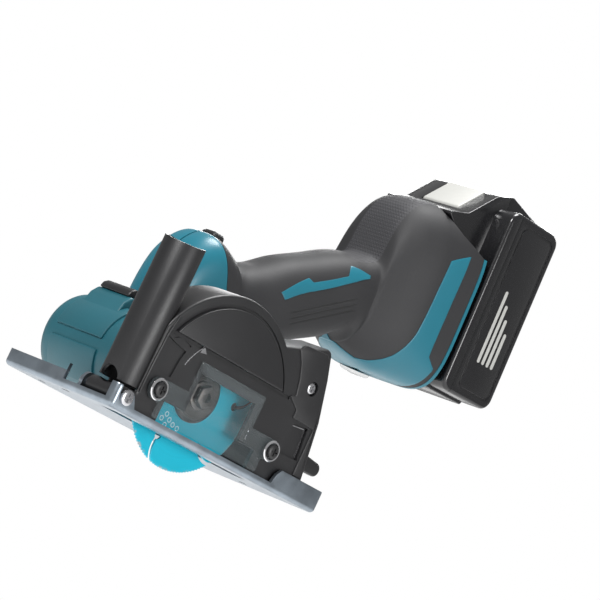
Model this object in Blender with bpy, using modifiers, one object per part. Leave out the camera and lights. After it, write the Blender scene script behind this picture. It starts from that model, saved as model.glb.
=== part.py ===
"""A one-handed cordless circular saw: blade case, tilting steel base, transverse motor, grip and battery.

Stations are in millimetres: x rearward from the blade's axis, y away from the blade's plane towards the
motor, z up from the sole of the base. The world origin is on the sole, under the middle of the base.
"""
from math import acos, atan2, copysign, cos, degrees, pi, radians, sin, sqrt, tan

import bmesh
import bpy
from mathutils import Matrix, Vector

MM = 0.001
GAP = 0.3
SOLE_X, SOLE_Y = 16.5, 23.5

# Blade and its clamp
BLADE_R, BLADE_T, BLADE_Z, BLADE_BORE = 38.0, 1.0, 24.8, 5.0
BLADE_TEETH, BLADE_SLOTS = 40, 6
FLANGE_R = 13.7

# Drive train
MOTOR_X, MOTOR_Z = 10.0, 29.0
GEAR_MODULE, GEAR_TEETH, PINION_TEETH = 0.7, 21, 10
PRESSURE_ANGLE = radians(20)
BACKLASH = 0.16
BARREL_R, BARREL_WALL, BARREL_END = 24.0, 2.5, 104.0
GEARBOX_Y0, GEARBOX_Y1 = 9.3, 30.0

# Blade case
CASE_Y0, CASE_Y1, CASE_WALL = -12.0, 9.0, 2.3
CASE_R, CASE_FRONT, CASE_BOTTOM = 49.5, -45.7, 2.5
CASE_BACK_TOP, CASE_BACK_LOW = (59.5, 73.0), (79.0, 9.0)
DISC_R, DISC_LINE, DISC_RISE = 44.0, 44.5, 1.5
COVER_SCREWS = ((-35.9, 17.3), (47.9, 17.1))

# Base
BASE_X0, BASE_X1, BASE_Y0, BASE_Y1 = -60.0, 93.5, -15.0, 62.0
STEEL, RIM, FLANGE_Z, REAR_FLANGE_Z = 1.8, 3.9, 8.0, 11.5
SLOT = (-46.0, 50.0, -5.2, 5.2)
PIVOT_X, PIVOT_Z, PIVOT_R = -53.0, 7.0, 2.0
FAR_EAR_Y0, FAR_EAR_Y1 = 10.5, 12.5
GUIDE_R, GUIDE_HALF, GUIDE_BOLT_DEG, GUIDE_TRAVEL_DEG = 118.0, 6.0, 8.0, 14.0

# Nozzle
NOZZLE_X, NOZZLE_Y, NOZZLE_R, NOZZLE_BORE = -48.0, -1.5, 10.0, 8.4
NOZZLE_Z0, NOZZLE_Z1 = 13.0, 83.0

# Body shells: one row per section: centre x, centre z, tilt in degrees, half height, half width, squareness
MID_Y = 85.0
SHELL_T, RUBBER_T = 2.4, 1.6
HEAD = [(36, 30.2, 89, 12, 17, 3.0), (40.8, 54.5, 84, 13.8, 18.5, 3.0), (47, 73.3, 59, 15.1, 19.5, 2.8),
        (53, 82.5, 33, 18.5, 20, 2.8)]
GRIP = [(61.5, 84.8, 16.5, 18.5, 19.5, 2.6), (71, 80.2, 20, 19.3, 19, 2.5), (89, 85.2, 30, 21.3, 18.5, 2.5),
        (108.7, 96.9, 30, 22, 19, 2.5), (128, 106.9, 30, 22.1, 19.5, 2.5),
        (145.5, 116.5, 12.4, 21, 20.5, 2.6)]
FOOT = [(154, 118, 2.3, 25, 20.5, 2.8), (156, 127.3, 1.6, 35.5, 21.5, 2.8), (159.3, 131.8, 1, 41.5, 24, 2.8),
        (168, 134.3, 1.5, 46.5, 29.5, 2.9), (180, 135.1, 2.5, 49, 33.5, 3.2)]
FOOT_REAR = (208.5, 134.5, 2.5, 49.5, 37, 4.4)
HEAD_OPENING, FOOT_OPENING = (36, 20, 89, 12, 17, 3.0), (214, 134.5, 2.5, 49.5, 37, 4.4)
HOUSING_SCREWS = ((46, 104.2, 68), (118.5, 102.8, 102), (172, 113.6, 140))
GRIP_TURN = radians(29.5)
PADDLE_AT, PADDLE_HINGE = (86.0, MID_Y, 60.5), (85.28, MID_Y, 65.83)
INLAY_AT = (115.0, 111.0)
INLAY_CORNERS = [(-26.5, -0.5), (-6.5, 4.5), (-4, 2), (21, 2.5), (25, 7), (37, 1), (36, -0.5),
                 (-24.5, -4.5)]

# Battery, drawn upright and then leaned forward about its lower front edge
LEAN = radians(2.5)
LEAN_X, LEAN_Z = 215.0, 100.0
PACK_Y0, PACK_Y1, PACK_X0, PACK_X1, PACK_Z0, PACK_Z1 = 48.0, 122.0, 214.5, 259.0, 96.4, 200.8
PACK_WALL, PACK_CORNER, PACK_SEAM = 2.4, 7.0, 222.0
RAIL_Y0, RAIL_Y1 = 61.0, 109.0
SPINE = [(199, 98), (211.5, 98), (211.5, 94.5), (250, 94.5), (254, 101), (254, 202.8), (240, 205.5),
         (224, 209), (211, 204.5), (194.5, 188.5), (180.6, 184.2), (180.6, 182.8), (191.2, 175.8),
         (208.4, 169.2), (214, 169.2), (214, 166), (199, 166)]
CELL_R, CELL_PITCH, CELL_L, CELLS = 9.1, 18.7, 63.0, 5

PAINT = {
    "zinc": ((0.50, 0.54, 0.56), 0.35, 1.0),
    "steel": ((0.55, 0.56, 0.58), 0.3, 1.0),
    "blade_cyan": ((0.0, 0.38, 0.55), 0.35, 0.1),
    "black_plastic": ((0.035, 0.035, 0.037), 0.5, 0.0),
    "rubber": ((0.045, 0.045, 0.047), 0.75, 0.0),
    "teal": ((0.012, 0.19, 0.24), 0.4, 0.0),
    "clear": ((0.7, 0.85, 0.87), 0.1, 0.0),
    "grey": ((0.62, 0.62, 0.58), 0.4, 0.0),
    "copper": ((0.55, 0.22, 0.08), 0.35, 1.0),
    "alloy": ((0.4, 0.41, 0.42), 0.45, 1.0),
    "board": ((0.02, 0.16, 0.07), 0.5, 0.0),
    "cell": ((0.05, 0.25, 0.45), 0.45, 0.0),
}


def clear_scene():
    for old in list(bpy.data.objects):
        bpy.data.objects.remove(old, do_unlink=True)


def collection(name, hidden=False):
    made = bpy.data.collections.new(name)
    bpy.context.scene.collection.children.link(made)
    made.hide_render = hidden
    return made


def paint(node, finish):
    colour, roughness, metallic = PAINT[finish]
    material = bpy.data.materials.new(node)
    material.use_nodes = True
    shader = material.node_tree.nodes["Principled BSDF"]
    shader.inputs["Base Color"].default_value = (*colour, 1.0)
    shader.inputs["Roughness"].default_value = roughness
    shader.inputs["Metallic"].default_value = metallic
    return material


def world(x, y, z):
    return Vector(((x - SOLE_X) * MM, (y - SOLE_Y) * MM, z * MM))


def from_mesh(name, mesh, finish, at=(0, 0, 0)):
    """An object whose mesh is in millimetres about the station `at`; with no finish it is a cutter."""
    mesh.transform(Matrix.Scale(MM, 4))
    made = bpy.data.objects.new(name, mesh)
    made.location = world(*at)
    if finish:
        PARTS.objects.link(made)
        mesh.materials.append(paint(name, finish))
        mesh.shade_smooth()
        mesh.set_sharp_from_angle(angle=radians(35))
    else:
        CUTTERS.objects.link(made)
        made.hide_render = True
        made.display_type = "WIRE"
    return made


def from_bmesh(name, bm, finish, at=(0, 0, 0)):
    mesh = bpy.data.meshes.new(name)
    bmesh.ops.recalc_face_normals(bm, faces=bm.faces)
    bm.to_mesh(mesh)
    bm.free()
    return from_mesh(name, mesh, finish, at)


def box(name, low, high, finish=None, bevel=0.0, segments=2):
    """A block between two corners, its edges rounded by `bevel`."""
    middle = [(a + b) / 2 for a, b in zip(low, high)]
    bm = bmesh.new()
    bmesh.ops.create_cube(bm, size=1.0)
    bmesh.ops.scale(bm, vec=[b - a for a, b in zip(low, high)], verts=bm.verts)
    made = from_bmesh(name, bm, finish, middle)
    if bevel:
        round_edges(made, bevel, segments)
    return made


def round_edges(obj, width, segments=2, angle=35):
    edge = obj.modifiers.new("Rounded", "BEVEL")
    edge.width = width * MM
    edge.segments = segments
    edge.limit_method = "ANGLE"
    edge.angle_limit = radians(angle)


def turning(axis):
    """The turn that lays local +Z along a world axis."""
    turns = {"X": Matrix.Rotation(pi / 2, 4, "Y"), "Y": Matrix.Rotation(-pi / 2, 4, "X"), "Z": Matrix()}
    return turns[axis]


def rod(name, radius, start, end, centre, finish=None, axis="Y", sides=28, end_radius=None):
    """A cylinder or cone along an axis, from one station to another."""
    bm = bmesh.new()
    bmesh.ops.create_cone(bm, cap_ends=True, segments=sides, radius1=radius,
                          radius2=radius if end_radius is None else end_radius, depth=end - start)
    bmesh.ops.transform(bm, matrix=turning(axis), verts=bm.verts)
    at = list(centre)
    at.insert("XYZ".index(axis), (start + end) / 2)
    return from_bmesh(name, bm, finish, at)


def turned(name, profile, centre, finish=None, axis="Y", steps=28, closed=False):
    """A profile of (radius, station) pairs, outer side from high to low, turned about an axis."""
    mesh = bpy.data.meshes.new(name)
    points = [(r, 0, s) for r, s in profile]
    edges = [(i, i + 1) for i in range(len(points) - 1)]
    if closed:
        edges.append((len(points) - 1, 0))
    mesh.from_pydata(points, edges, [])
    at = list(centre)
    at.insert("XYZ".index(axis), 0)
    made = from_mesh(name, mesh, finish, at)
    screw = made.modifiers.new("Turned", "SCREW")
    screw.steps = screw.render_steps = steps
    screw.use_merge_vertices = True
    screw.merge_threshold = 0.00001
    screw.use_normal_calculate = False
    made.rotation_euler = turning(axis).to_euler()
    return made


def ring(name, outer, inner, start, end, centre, finish, axis="Y", steps=28):
    profile = [(outer, end), (outer, start), (inner, start), (inner, end)]
    return turned(name, profile, centre, finish, axis, steps, closed=True)


def plate(name, outline, start, end, finish=None, centre=(0, 0)):
    """A flat outline of (x, z) points about `centre`, thick in y from one station to the other."""
    curve = bpy.data.curves.new(name, "CURVE")
    curve.dimensions = "2D"
    curve.fill_mode = "BOTH"
    curve.render_resolution_u = 0
    curve.extrude = (end - start) / 2
    spline = curve.splines.new("POLY")
    spline.points.add(len(outline) - 1)
    for point, (x, z) in zip(spline.points, outline):
        point.co = (x, z, 0, 1)
    spline.use_cyclic_u = True
    shape = bpy.data.objects.new(name + "_outline", curve)
    bpy.context.scene.collection.objects.link(shape)
    bpy.context.view_layer.update()
    seen = shape.evaluated_get(bpy.context.evaluated_depsgraph_get())
    bm = bmesh.new()
    bm.from_mesh(bpy.data.meshes.new_from_object(seen))
    bpy.data.objects.remove(shape, do_unlink=True)
    bmesh.ops.remove_doubles(bm, verts=bm.verts, dist=0.001)
    bmesh.ops.transform(bm, matrix=Matrix.Rotation(pi / 2, 4, "X"), verts=bm.verts)
    return from_bmesh(name, bm, finish, (centre[0], (start + end) / 2, centre[1]))


def arc(cx, cz, radius, first, last, steps):
    """Points on a circle from one angle in degrees to another."""
    turns = [radians(first + (last - first) * i / steps) for i in range(steps + 1)]
    return [(cx + radius * cos(t), cz + radius * sin(t)) for t in turns]


def boolean(target, others, operation):
    for other in others:
        step = target.modifiers.new(operation.title(), "BOOLEAN")
        step.operation = operation
        step.object = other
    return target


def cut(target, *cutters):
    return boolean(target, cutters, "DIFFERENCE")


def fuse(target, *others):
    return boolean(target, others, "UNION")


def keep(target, other):
    return boolean(target, [other], "INTERSECT")


def group(name, at, objects):
    """An empty on a joint's axis that carries the pieces of one moving group."""
    empty = bpy.data.objects.new(name, None)
    empty.location = world(*at)
    PARTS.objects.link(empty)
    bpy.context.view_layer.update()
    for piece in objects:
        piece.parent = empty
        piece.matrix_parent_inverse = empty.matrix_world.inverted()
    return empty


# ---------------------------------------------------------------- base


def base_tray():
    """A pressed steel tray with a low rim, a raised front flange, a raised rear flange and hinge ears."""
    tray = box("base_plate", (BASE_X0, BASE_Y0, 0), (BASE_X1, BASE_Y1, 13), "zinc", 2.2)
    hollow = box("base_hollow", (BASE_X0 + STEEL, BASE_Y0 + STEEL, STEEL),
                 (BASE_X1 - STEEL, BASE_Y1 - STEEL, 20), bevel=1.5)
    over = 5.0
    trims = [
        ("trim_top", (BASE_X0 - over, BASE_Y0 - over, REAR_FLANGE_Z), (BASE_X1 + over, BASE_Y1 + over, 20)),
        ("trim_far", (BASE_X0 + STEEL + 1, 30, RIM), (BASE_X1 + over, BASE_Y1 + over, 20)),
        ("trim_near", (-46.0, BASE_Y0 - over, RIM), (56.0, 0, 20)),
        ("trim_rear", (BASE_X1 - STEEL - 1, BASE_Y0 + 8, RIM), (BASE_X1 + over, 40, 20)),
        ("trim_front_high", (BASE_X0 - over, 20, FLANGE_Z), (-40, BASE_Y1 + over, 20)),
        ("trim_front_low", (BASE_X0 - over, BASE_Y0 + 5, RIM), (-56, 20, 20)),
    ]
    cut(tray, hollow, *[box(name, low, high) for name, low, high in trims])
    x0, x1, y0, y1 = SLOT
    cut(tray, box("blade_slot", (x0, y0, -5), (x1, y1, 8)))
    far_ear = plate("far_ear", [(-59, 1), (-47, 1), *arc(PIVOT_X, PIVOT_Z, 4.6, -20, 200, 10)],
                    FAR_EAR_Y0, FAR_EAR_Y1)
    bolt_hole = rod("pivot_holes", PIVOT_R + GAP, BASE_Y0 - 3, 14, (PIVOT_X, PIVOT_Z), sides=16)
    return cut(fuse(tray, far_ear), bolt_hole)


def depth_guide():
    """The curved steel strip that the depth bolt runs in, bent down on to the base."""
    low, high = -3, GUIDE_BOLT_DEG + GUIDE_TRAVEL_DEG + 3
    outer, inner = GUIDE_R + GUIDE_HALF, GUIDE_R - GUIDE_HALF
    strip = plate("depth_guide", arc(PIVOT_X, PIVOT_Z, outer, low, high, 12)
                  + arc(PIVOT_X, PIVOT_Z, inner, high, low, 12), -8.9, -7.6, "zinc")
    foot = box("guide_foot", (57.0, -8.6, STEEL - 1), (69.5, -1.5, STEEL + GAP + 1.4))
    first, last = GUIDE_BOLT_DEG - 1.2, GUIDE_BOLT_DEG + GUIDE_TRAVEL_DEG + 1.2
    run = plate("guide_run", arc(PIVOT_X, PIVOT_Z, GUIDE_R + 2.4, first, last, 12)
                + arc(PIVOT_X, PIVOT_Z, GUIDE_R - 2.4, last, first, 12), -12, -5)
    trim = box("guide_trim", (40, -12, -5), (90, 0, STEEL + GAP))
    return cut(fuse(strip, foot), run, trim)


def build_base():
    base_tray()
    depth_guide()


# ---------------------------------------------------------------- blade case


def case_outline(inset=0.0):
    """The case seen from the side: a round top over the blade, a straight front and a sloping back."""
    radius = CASE_R - inset
    front = CASE_FRONT + inset
    left = 180 - degrees(acos(-front / radius))
    top_x, top_z = CASE_BACK_TOP
    low_x, low_z = CASE_BACK_LOW
    floor = CASE_BOTTOM - (5 if inset else 0)
    points = [(front, floor)]
    if not inset:
        lug = PIVOT_Z - CASE_BOTTOM
        points = arc(PIVOT_X, PIVOT_Z, lug, 270, 90, 12) + [(front, PIVOT_Z + lug)]
    points += arc(0, BLADE_Z, radius, left, 52, 20)
    points += [(top_x - 2 - inset, top_z - inset * 1.2), (top_x + 1.5 - inset, top_z - 1.5 - inset * 1.2)]
    points += [(low_x - inset, low_z), (low_x - inset, floor)]
    return points


def case_windows():
    """Cutters for the clear cover's opening, the depth window, the screws and the spindle."""
    made = [
        box("window_low", (-27.5, CASE_Y0 - 4, -5), (39, CASE_Y0 + 4, 14)),
        box("window_high", (-13, CASE_Y0 - 4, 5), (27, CASE_Y0 + 4, 33)),
        box("depth_window", (56.2, CASE_Y0 - 4, 18.5), (66.5, CASE_Y0 + 4, 34)),
        rod("spindle_hole", 13.0, 5, 12, (0, BLADE_Z)),
        rod("depth_bolt_hole", 2.3, 5, 12, bolt_station(), sides=16),
        rod("case_screw_hole", 3.3, CASE_Y0 - 4, CASE_Y0 + 1.6, (57.6, 52.6), sides=20),
        rod("nozzle_seat", NOZZLE_R + GAP, NOZZLE_Z0 - GAP, 100, (NOZZLE_X, NOZZLE_Y), axis="Z", sides=32),
        rod("nozzle_throat", NOZZLE_BORE, -5, 40, (NOZZLE_X, NOZZLE_Y), axis="Z", sides=32),
        rod("case_pivot_hole", PIVOT_R + GAP, -20, 20, (PIVOT_X, PIVOT_Z), sides=16),
    ]
    for number, (x, z) in enumerate(COVER_SCREWS):
        made.append(rod(f"cover_screw_hole_{number}", 1.9, CASE_Y0 - 4, CASE_Y0 + 4, (x, z), sides=16))
    return made


def bolt_station():
    turn = radians(GUIDE_BOLT_DEG)
    return PIVOT_X + GUIDE_R * cos(turn), PIVOT_Z + GUIDE_R * sin(turn)


def blade_case():
    case = plate("blade_case", case_outline(), CASE_Y0, CASE_Y1, "black_plastic")
    half = sqrt(DISC_R ** 2 - (DISC_LINE - BLADE_Z) ** 2)
    turn = degrees(atan2(DISC_LINE - BLADE_Z, half))
    disc = plate("case_disc", arc(0, BLADE_Z, DISC_R, turn, 180 - turn, 24),
                 CASE_Y0 - DISC_RISE, CASE_Y0 + 1)
    hollow = plate("case_hollow", case_outline(CASE_WALL), CASE_Y0 + CASE_WALL, CASE_Y1 - CASE_WALL + 0.3)
    return cut(fuse(case, disc), hollow, *case_windows())


def clear_cover():
    """A clear plate with two screw ears and a hollow box dome over the clamp bolt."""
    y0, y1 = CASE_Y0 - 2.2, CASE_Y0 - GAP
    (ax, az), (bx, bz) = COVER_SCREWS
    outline = [(-31.8, 4.7), (43.4, 4.7), (43.4, 11.5)]
    outline += arc(bx, bz, 5.4, -100, 95, 10) + arc(ax, az, 5.4, 85, 280, 10) + [(-31.8, 11.5)]
    cover = plate("clear_cover", outline, y0, y1, "clear")
    dome = frustum("dome", (-17.5, 31.5, 12, 38.5), y1 - 0.4, (-16, 21, 19.5, 34), -17.6)
    inner = frustum("dome_inner", (-15.9, 29.9, 13.6, 36.9), y1 + 2, (-14.4, 19.4, 21, 32.4), -16.0)
    holes = [rod(f"ear_hole_{n}", 1.9, y0 - 2, y1 + 2, centre, sides=16)
             for n, centre in enumerate(COVER_SCREWS)]
    return cut(fuse(cover, dome), inner, *holes)


def frustum(name, wide, wide_y, narrow, narrow_y):
    """A block whose two y faces are different (x0, x1, z0, z1) rectangles."""
    bm = bmesh.new()
    bmesh.ops.create_cube(bm, size=2.0)
    for vert in bm.verts:
        x0, x1, z0, z1 = wide if vert.co.y > 0 else narrow
        vert.co = (x1 if vert.co.x > 0 else x0, wide_y if vert.co.y > 0 else narrow_y,
                   z1 if vert.co.z > 0 else z0)
    return from_bmesh(name, bm, None)


def screw(name, centre, head_y, head_r, head_t, shank_r, length, finish="steel", slots=True, far=False):
    """A pan-head screw along +y, or along -y when it comes from the far side."""
    side = -1 if far else 1
    stations = [head_y, head_y + side * head_t, head_y + side * (head_t + length)]
    profile = [(0, stations[0]), (head_r * 0.8, stations[0]), (head_r, stations[0] + side * 0.5),
               (head_r, stations[1]), (shank_r, stations[1]), (shank_r, stations[2]), (0, stations[2])]
    if not far:
        profile.reverse()
    made = turned(name, profile, centre, finish, steps=12)
    if slots:
        wide, deep = head_r * 0.62, 0.8
        low, high = sorted((head_y - side * 0.5, head_y + side * deep))
        x, z = centre
        for number, (half_x, half_z) in enumerate(((wide, 0.4), (0.4, wide))):
            cut(made, box(f"{name}_cross_{number}", (x - half_x, low, z - half_z),
                          (x + half_x, high, z + half_z)))
    return made


def dust_nozzle():
    """A straight duct with a slanted mouth and an arched window at its lower end."""
    tube = ring("dust_nozzle", NOZZLE_R, NOZZLE_BORE, NOZZLE_Z0, NOZZLE_Z1 + 3, (NOZZLE_X, NOZZLE_Y),
                "black_plastic", axis="Z", steps=32)
    mouth = box("nozzle_mouth", (-25, -25, 0), (25, 25, 10))
    mouth.location = world(NOZZLE_X, NOZZLE_Y, NOZZLE_Z1 + 5)
    mouth.rotation_euler = (radians(6), radians(-8), 0)
    arch = rod("nozzle_arch", 5.0, NOZZLE_X - 12, NOZZLE_X, (NOZZLE_Y - 1, NOZZLE_Z0), axis="X", sides=24)
    return cut(tube, mouth, arch)


def build_case():
    case = blade_case()
    cover = clear_cover()
    pieces = [case, cover, dust_nozzle()]
    for name, centre in zip(("cover_screw_front", "cover_screw_rear"), COVER_SCREWS):
        pieces.append(screw(name, centre, CASE_Y0 - 4.4, 3.3, 1.9, 1.5, 4.8, "black_plastic"))
    pieces.append(screw("case_screw", (57.6, 52.6), CASE_Y0 - 0.2, 2.9, 1.5, 1.0, 0.2))
    pivot = (PIVOT_X, PIVOT_Z)
    pieces.append(screw("pivot_screw_near", pivot, BASE_Y0 - 1.8, 3.6, 1.5, PIVOT_R - 0.2, 10))
    pieces.append(screw("pivot_screw_far", pivot, FAR_EAR_Y1 + 1.8, 3.6, 1.5, PIVOT_R - 0.2, 10, far=True))
    bolt = rod("depth_bolt", 1.9, -9.3, 16.0, bolt_station(), "steel", sides=16)
    pieces.append(fuse(bolt, rod("depth_bolt_head", 3.4, -9.5, -9.1, bolt_station(), sides=6)))
    return pieces


# ---------------------------------------------------------------- blade and drive


def blade_outline():
    """Fine saw teeth round the rim; each has a steep face and a sloping back."""
    points = []
    for tooth in range(BLADE_TEETH):
        start = 360 * tooth / BLADE_TEETH
        points += arc(0, 0, BLADE_R, start, start, 1)[:1]
        points += arc(0, 0, BLADE_R - 0.6, start + 1.2, start + 1.2, 1)[:1]
    return points


def keyhole(name, turn):
    """A narrow slot from the rim that ends in a round hole."""
    outline = arc(26.5, 0, 1.9, 25, 335, 8)
    outline = [(40, 0.7)] + outline + [(40, -0.7)]
    slot = plate(name, outline, -3, 3, centre=(0, BLADE_Z))
    slot.rotation_euler = (0, -turn, 0)
    return slot


def saw_blade():
    blade = plate("saw_blade", blade_outline(), -BLADE_T / 2, BLADE_T / 2, "blade_cyan", (0, BLADE_Z))
    first = radians(-113)
    slots = [keyhole(f"keyhole_{n}", first + 2 * pi * n / BLADE_SLOTS) for n in range(BLADE_SLOTS)]
    return cut(blade, rod("blade_bore", BLADE_BORE, -3, 3, (0, BLADE_Z)), *slots)


def gear_outline(teeth, turn):
    """Involute flanks with a short tip, and a root drawn straight down to below the base circle."""
    pitch = GEAR_MODULE * teeth / 2
    base = pitch * cos(PRESSURE_ANGLE)
    tip, root = pitch + 0.85 * GEAR_MODULE, pitch - 1.15 * GEAR_MODULE
    half = pi / (2 * teeth) - BACKLASH / 2 / pitch
    involute = tan(PRESSURE_ANGLE) - PRESSURE_ANGLE

    def flank(radius):
        if radius <= base:
            return half + involute
        angle = acos(base / radius)
        return half + involute - (tan(angle) - angle)

    radii = [root, pitch, tip]
    points = []
    for tooth in range(teeth):
        middle = turn + 2 * pi * tooth / teeth
        points += [(r * cos(middle - flank(r)), r * sin(middle - flank(r))) for r in radii]
        points += [(r * cos(middle + flank(r)), r * sin(middle + flank(r))) for r in reversed(radii)]
    return points


def build_gears():
    line = atan2(MOTOR_Z - BLADE_Z, MOTOR_X)
    wheel = plate("driven_gear", gear_outline(GEAR_TEETH, line), 18.4, 23.6, "steel", (0, BLADE_Z))
    cut(wheel, rod("gear_bore", 4.0 + GAP, 15, 27, (0, BLADE_Z), sides=24))
    facing = line + pi + pi / PINION_TEETH
    pinion = plate("pinion", gear_outline(PINION_TEETH, facing), 18.0, 24.0, "steel", (MOTOR_X, MOTOR_Z))
    cut(pinion, rod("pinion_bore", 1.6 + GAP, 15, 27, (MOTOR_X, MOTOR_Z), sides=16))
    return wheel, pinion


def build_blade_group():
    axis = (0, BLADE_Z)
    wheel, pinion = build_gears()
    spindle = turned("spindle", [(0, 29.2), (2.5, 29.2), (2.5, 24.2), (4.0, 24.2), (4.0, 17.6), (5.0, 17.6),
                                 (5.0, 10.4), (7.5, 10.4), (7.5, 4.6), (4.7, 4.6), (4.7, -0.35), (0, -0.35)],
                     axis, "steel", steps=24)
    cut(spindle, rod("spindle_thread", 2.9, -3, 8, axis, sides=20))
    inner = turned("inner_flange", [(11.5, 4.2), (FLANGE_R, 3.2), (FLANGE_R, 0.8), (5.0, 0.8), (5.0, 4.2)],
                   axis, "steel", closed=True)
    outer = turned("outer_flange", [(FLANGE_R, -0.8), (FLANGE_R, -2.4), (11.5, -3.8), (3.0, -3.8),
                                    (3.0, -0.8)], axis, "steel", closed=True)
    bolt = fuse(rod("clamp_bolt", 2.6, -4.4, 7, axis, "steel", sides=20),
                rod("bolt_flange", 7.0, -5.0, -4.1, axis, sides=24),
                rod("bolt_hexagon", 5.8, -8.6, -4.9, axis, sides=6))
    group("blade_axis", (0, 0, BLADE_Z), [saw_blade(), inner, outer, bolt, spindle, wheel])
    build_motor(pinion)
    ring("spindle_front_bearing", 11.0, 5.3, 10.9, 17.3, axis, "steel")
    ring("spindle_rear_bearing", 5.0, 2.8, 24.8, 28.8, axis, "steel", steps=24)


def build_motor(pinion):
    """Shaft, magnet core and fan turn together; stator and bearings stay in the housing."""
    axis = (MOTOR_X, MOTOR_Z)
    shaft = turned("motor_shaft", [(0, 98.5), (2.2, 98.5), (2.2, 93), (2.9, 93), (2.9, 30.6), (2.2, 30.6),
                                   (2.2, 24.6), (1.6, 24.6), (1.6, 17.8), (0, 17.8)], axis, "steel", steps=20)
    core = ring("rotor_core", 11.0, 3.2, 46, 76, axis, "steel")
    hub = ring("fan", 8.0, 3.2, 33, 40, axis, "black_plastic", steps=24)
    for blade in range(9):
        vane = box(f"vane_{blade}", (-5.4, -3.1, -0.8), (5.4, 3.1, 0.8))
        vane.data.transform(Matrix.Translation((12.3 * MM, 0, 0)))
        vane.location = world(MOTOR_X, 36.5, MOTOR_Z)
        vane.rotation_euler = (0, 2 * pi * blade / 9, 0)
        fuse(hub, vane)
    fuse(hub, ring("fan_disc", 18.5, 6.0, 39.0, 39.8, axis, None))
    group("motor_axis", (MOTOR_X, 0, MOTOR_Z), [shaft, core, hub, pinion])
    ring("motor_front_bearing", 5.5, 2.5, 25.2, 29.6, axis, "steel", steps=24)
    ring("motor_rear_bearing", 7.0, 2.5, 93.4, 98.0, axis, "steel", steps=24)
    stator = ring("stator", 20.9, 11.6, 44, 78, axis, "copper", steps=28)
    for slot in range(6):
        turn = pi / 6 + slot * pi / 3
        notch = rod(f"stator_slot_{slot}", 2.6, 40, 82,
                    (MOTOR_X + 15.5 * cos(turn), MOTOR_Z + 15.5 * sin(turn)), sides=12)
        cut(stator, notch)


def gear_housing():
    """The alloy gear case between the blade case and the motor barrel, with its bearing seats."""
    body = rod("gear_housing", BARREL_R, GEARBOX_Y0, GEARBOX_Y1, (MOTOR_X, MOTOR_Z), "alloy", sides=40)
    cut(body, box("gearbox_sole", (-40, 0, -10), (60, 40, STEEL + RIM)))
    seats = [
        rod("front_seat", 11.0 + GAP, 5, 17.6, (0, BLADE_Z)),
        rod("gear_room", 8.9, 16, 24.5, (0, BLADE_Z)),
        rod("pinion_room", 5.0, 17.4, 24.5, (MOTOR_X, MOTOR_Z), sides=24),
        rod("rear_seat", 5.0 + GAP, 24, 35, (0, BLADE_Z), sides=24),
        rod("motor_seat", 5.5 + GAP, 24, 35, (MOTOR_X, MOTOR_Z), sides=24),
        rod("lock_button_seat", 4.0 + GAP, 42, 60, (MOTOR_X - 4, 19.5), axis="Z", sides=24),
    ]
    return cut(body, *seats)


def motor_barrel():
    """A deep plastic cup over the motor with a rounded closed end and air slots."""
    outer, inner = BARREL_R, BARREL_R - BARREL_WALL
    curve = [(outer - 9 + 9 * cos(radians(t)), BARREL_END - 9 + 9 * sin(radians(t)))
             for t in range(90, -1, -30)]
    start = GEARBOX_Y1 + GAP
    seat = [(9.6, 98.5), (9.6, 92.9), (7.3, 92.9), (7.3, 98.3), (5.0, 98.3), (5.0, 100.5), (0, 100.5)]
    profile = [(0, BARREL_END)] + curve + [(outer, start), (inner, start), (inner, 98.5)] + seat
    barrel = turned("motor_housing", profile, (MOTOR_X, MOTOR_Z), "teal", steps=32)
    for slot in range(8):
        turn = 2 * pi * (slot + 0.5) / 8
        vent = box(f"end_vent_{slot}", (9.0, -6, -1.1), (17.0, 6, 1.1))
        vent.data.transform(Matrix.Translation((12.6 * MM, 0, 0)))
        vent.location = world(MOTOR_X, 101, MOTOR_Z)
        vent.rotation_euler = (0, turn, 0)
        cut(barrel, vent)
    for slot in range(5):
        y = 32.5 + slot * 2.0
        cut(barrel, box(f"side_vent_{slot}", (MOTOR_X + 10, y, MOTOR_Z - 9),
                        (MOTOR_X + 40, y + 1.1, MOTOR_Z + 2)))
    return barrel


# ---------------------------------------------------------------- body shells


def section(row, count=20):
    """One rounded section of the body, as points in space."""
    x, z, tilt, half_height, half_width, square = row
    turn = radians(tilt)
    points = []
    for step in range(count):
        angle = 2 * pi * (step + 0.5) / count
        side = copysign(abs(cos(angle)) ** (2 / square), cos(angle)) * half_width
        rise = copysign(abs(sin(angle)) ** (2 / square), sin(angle)) * half_height
        points.append(Vector((x - rise * sin(turn), MID_Y + side, z + rise * cos(turn))))
    return points


def sunk(rows, depths):
    """The rows' sections, each moved in by its own depth, square to the surface through them all."""
    whole = [section(row) for row in rows]
    moved = []
    for i, (points, depth) in enumerate(zip(whole, depths)):
        before, after = whole[max(i - 1, 0)], whole[min(i + 1, len(whole) - 1)]
        loop = []
        for j, point in enumerate(points):
            around = points[(j + 1) % len(points)] - points[j - 1]
            loop.append(point - around.cross(after[j] - before[j]).normalized() * depth)
        moved.append(loop)
    return moved


def skin(bm, sections):
    """Quads through closed sections; gives back their loops of corners."""
    loops = [[bm.verts.new(p) for p in points] for points in sections]
    for a, b in zip(loops, loops[1:]):
        for i in range(len(a)):
            j = (i + 1) % len(a)
            bm.faces.new((a[i], a[j], b[j], b[i]))
    return loops


def solid_skin(name, sections, finish=None):
    bm = bmesh.new()
    loops = skin(bm, sections)
    bm.faces.new(loops[0])
    bm.faces.new(loops[-1])
    return from_bmesh(name, bm, finish)


def wall(name, outside, inside, finish=None):
    """An open-ended wall between two skins."""
    bm = bmesh.new()
    outer, inner = skin(bm, outside), skin(bm, inside)
    for a, b in ((outer[0], inner[0]), (outer[-1], inner[-1])):
        for i in range(len(a)):
            j = (i + 1) % len(a)
            bm.faces.new((a[i], a[j], b[j], b[i]))
    return from_bmesh(name, bm, finish)


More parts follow.
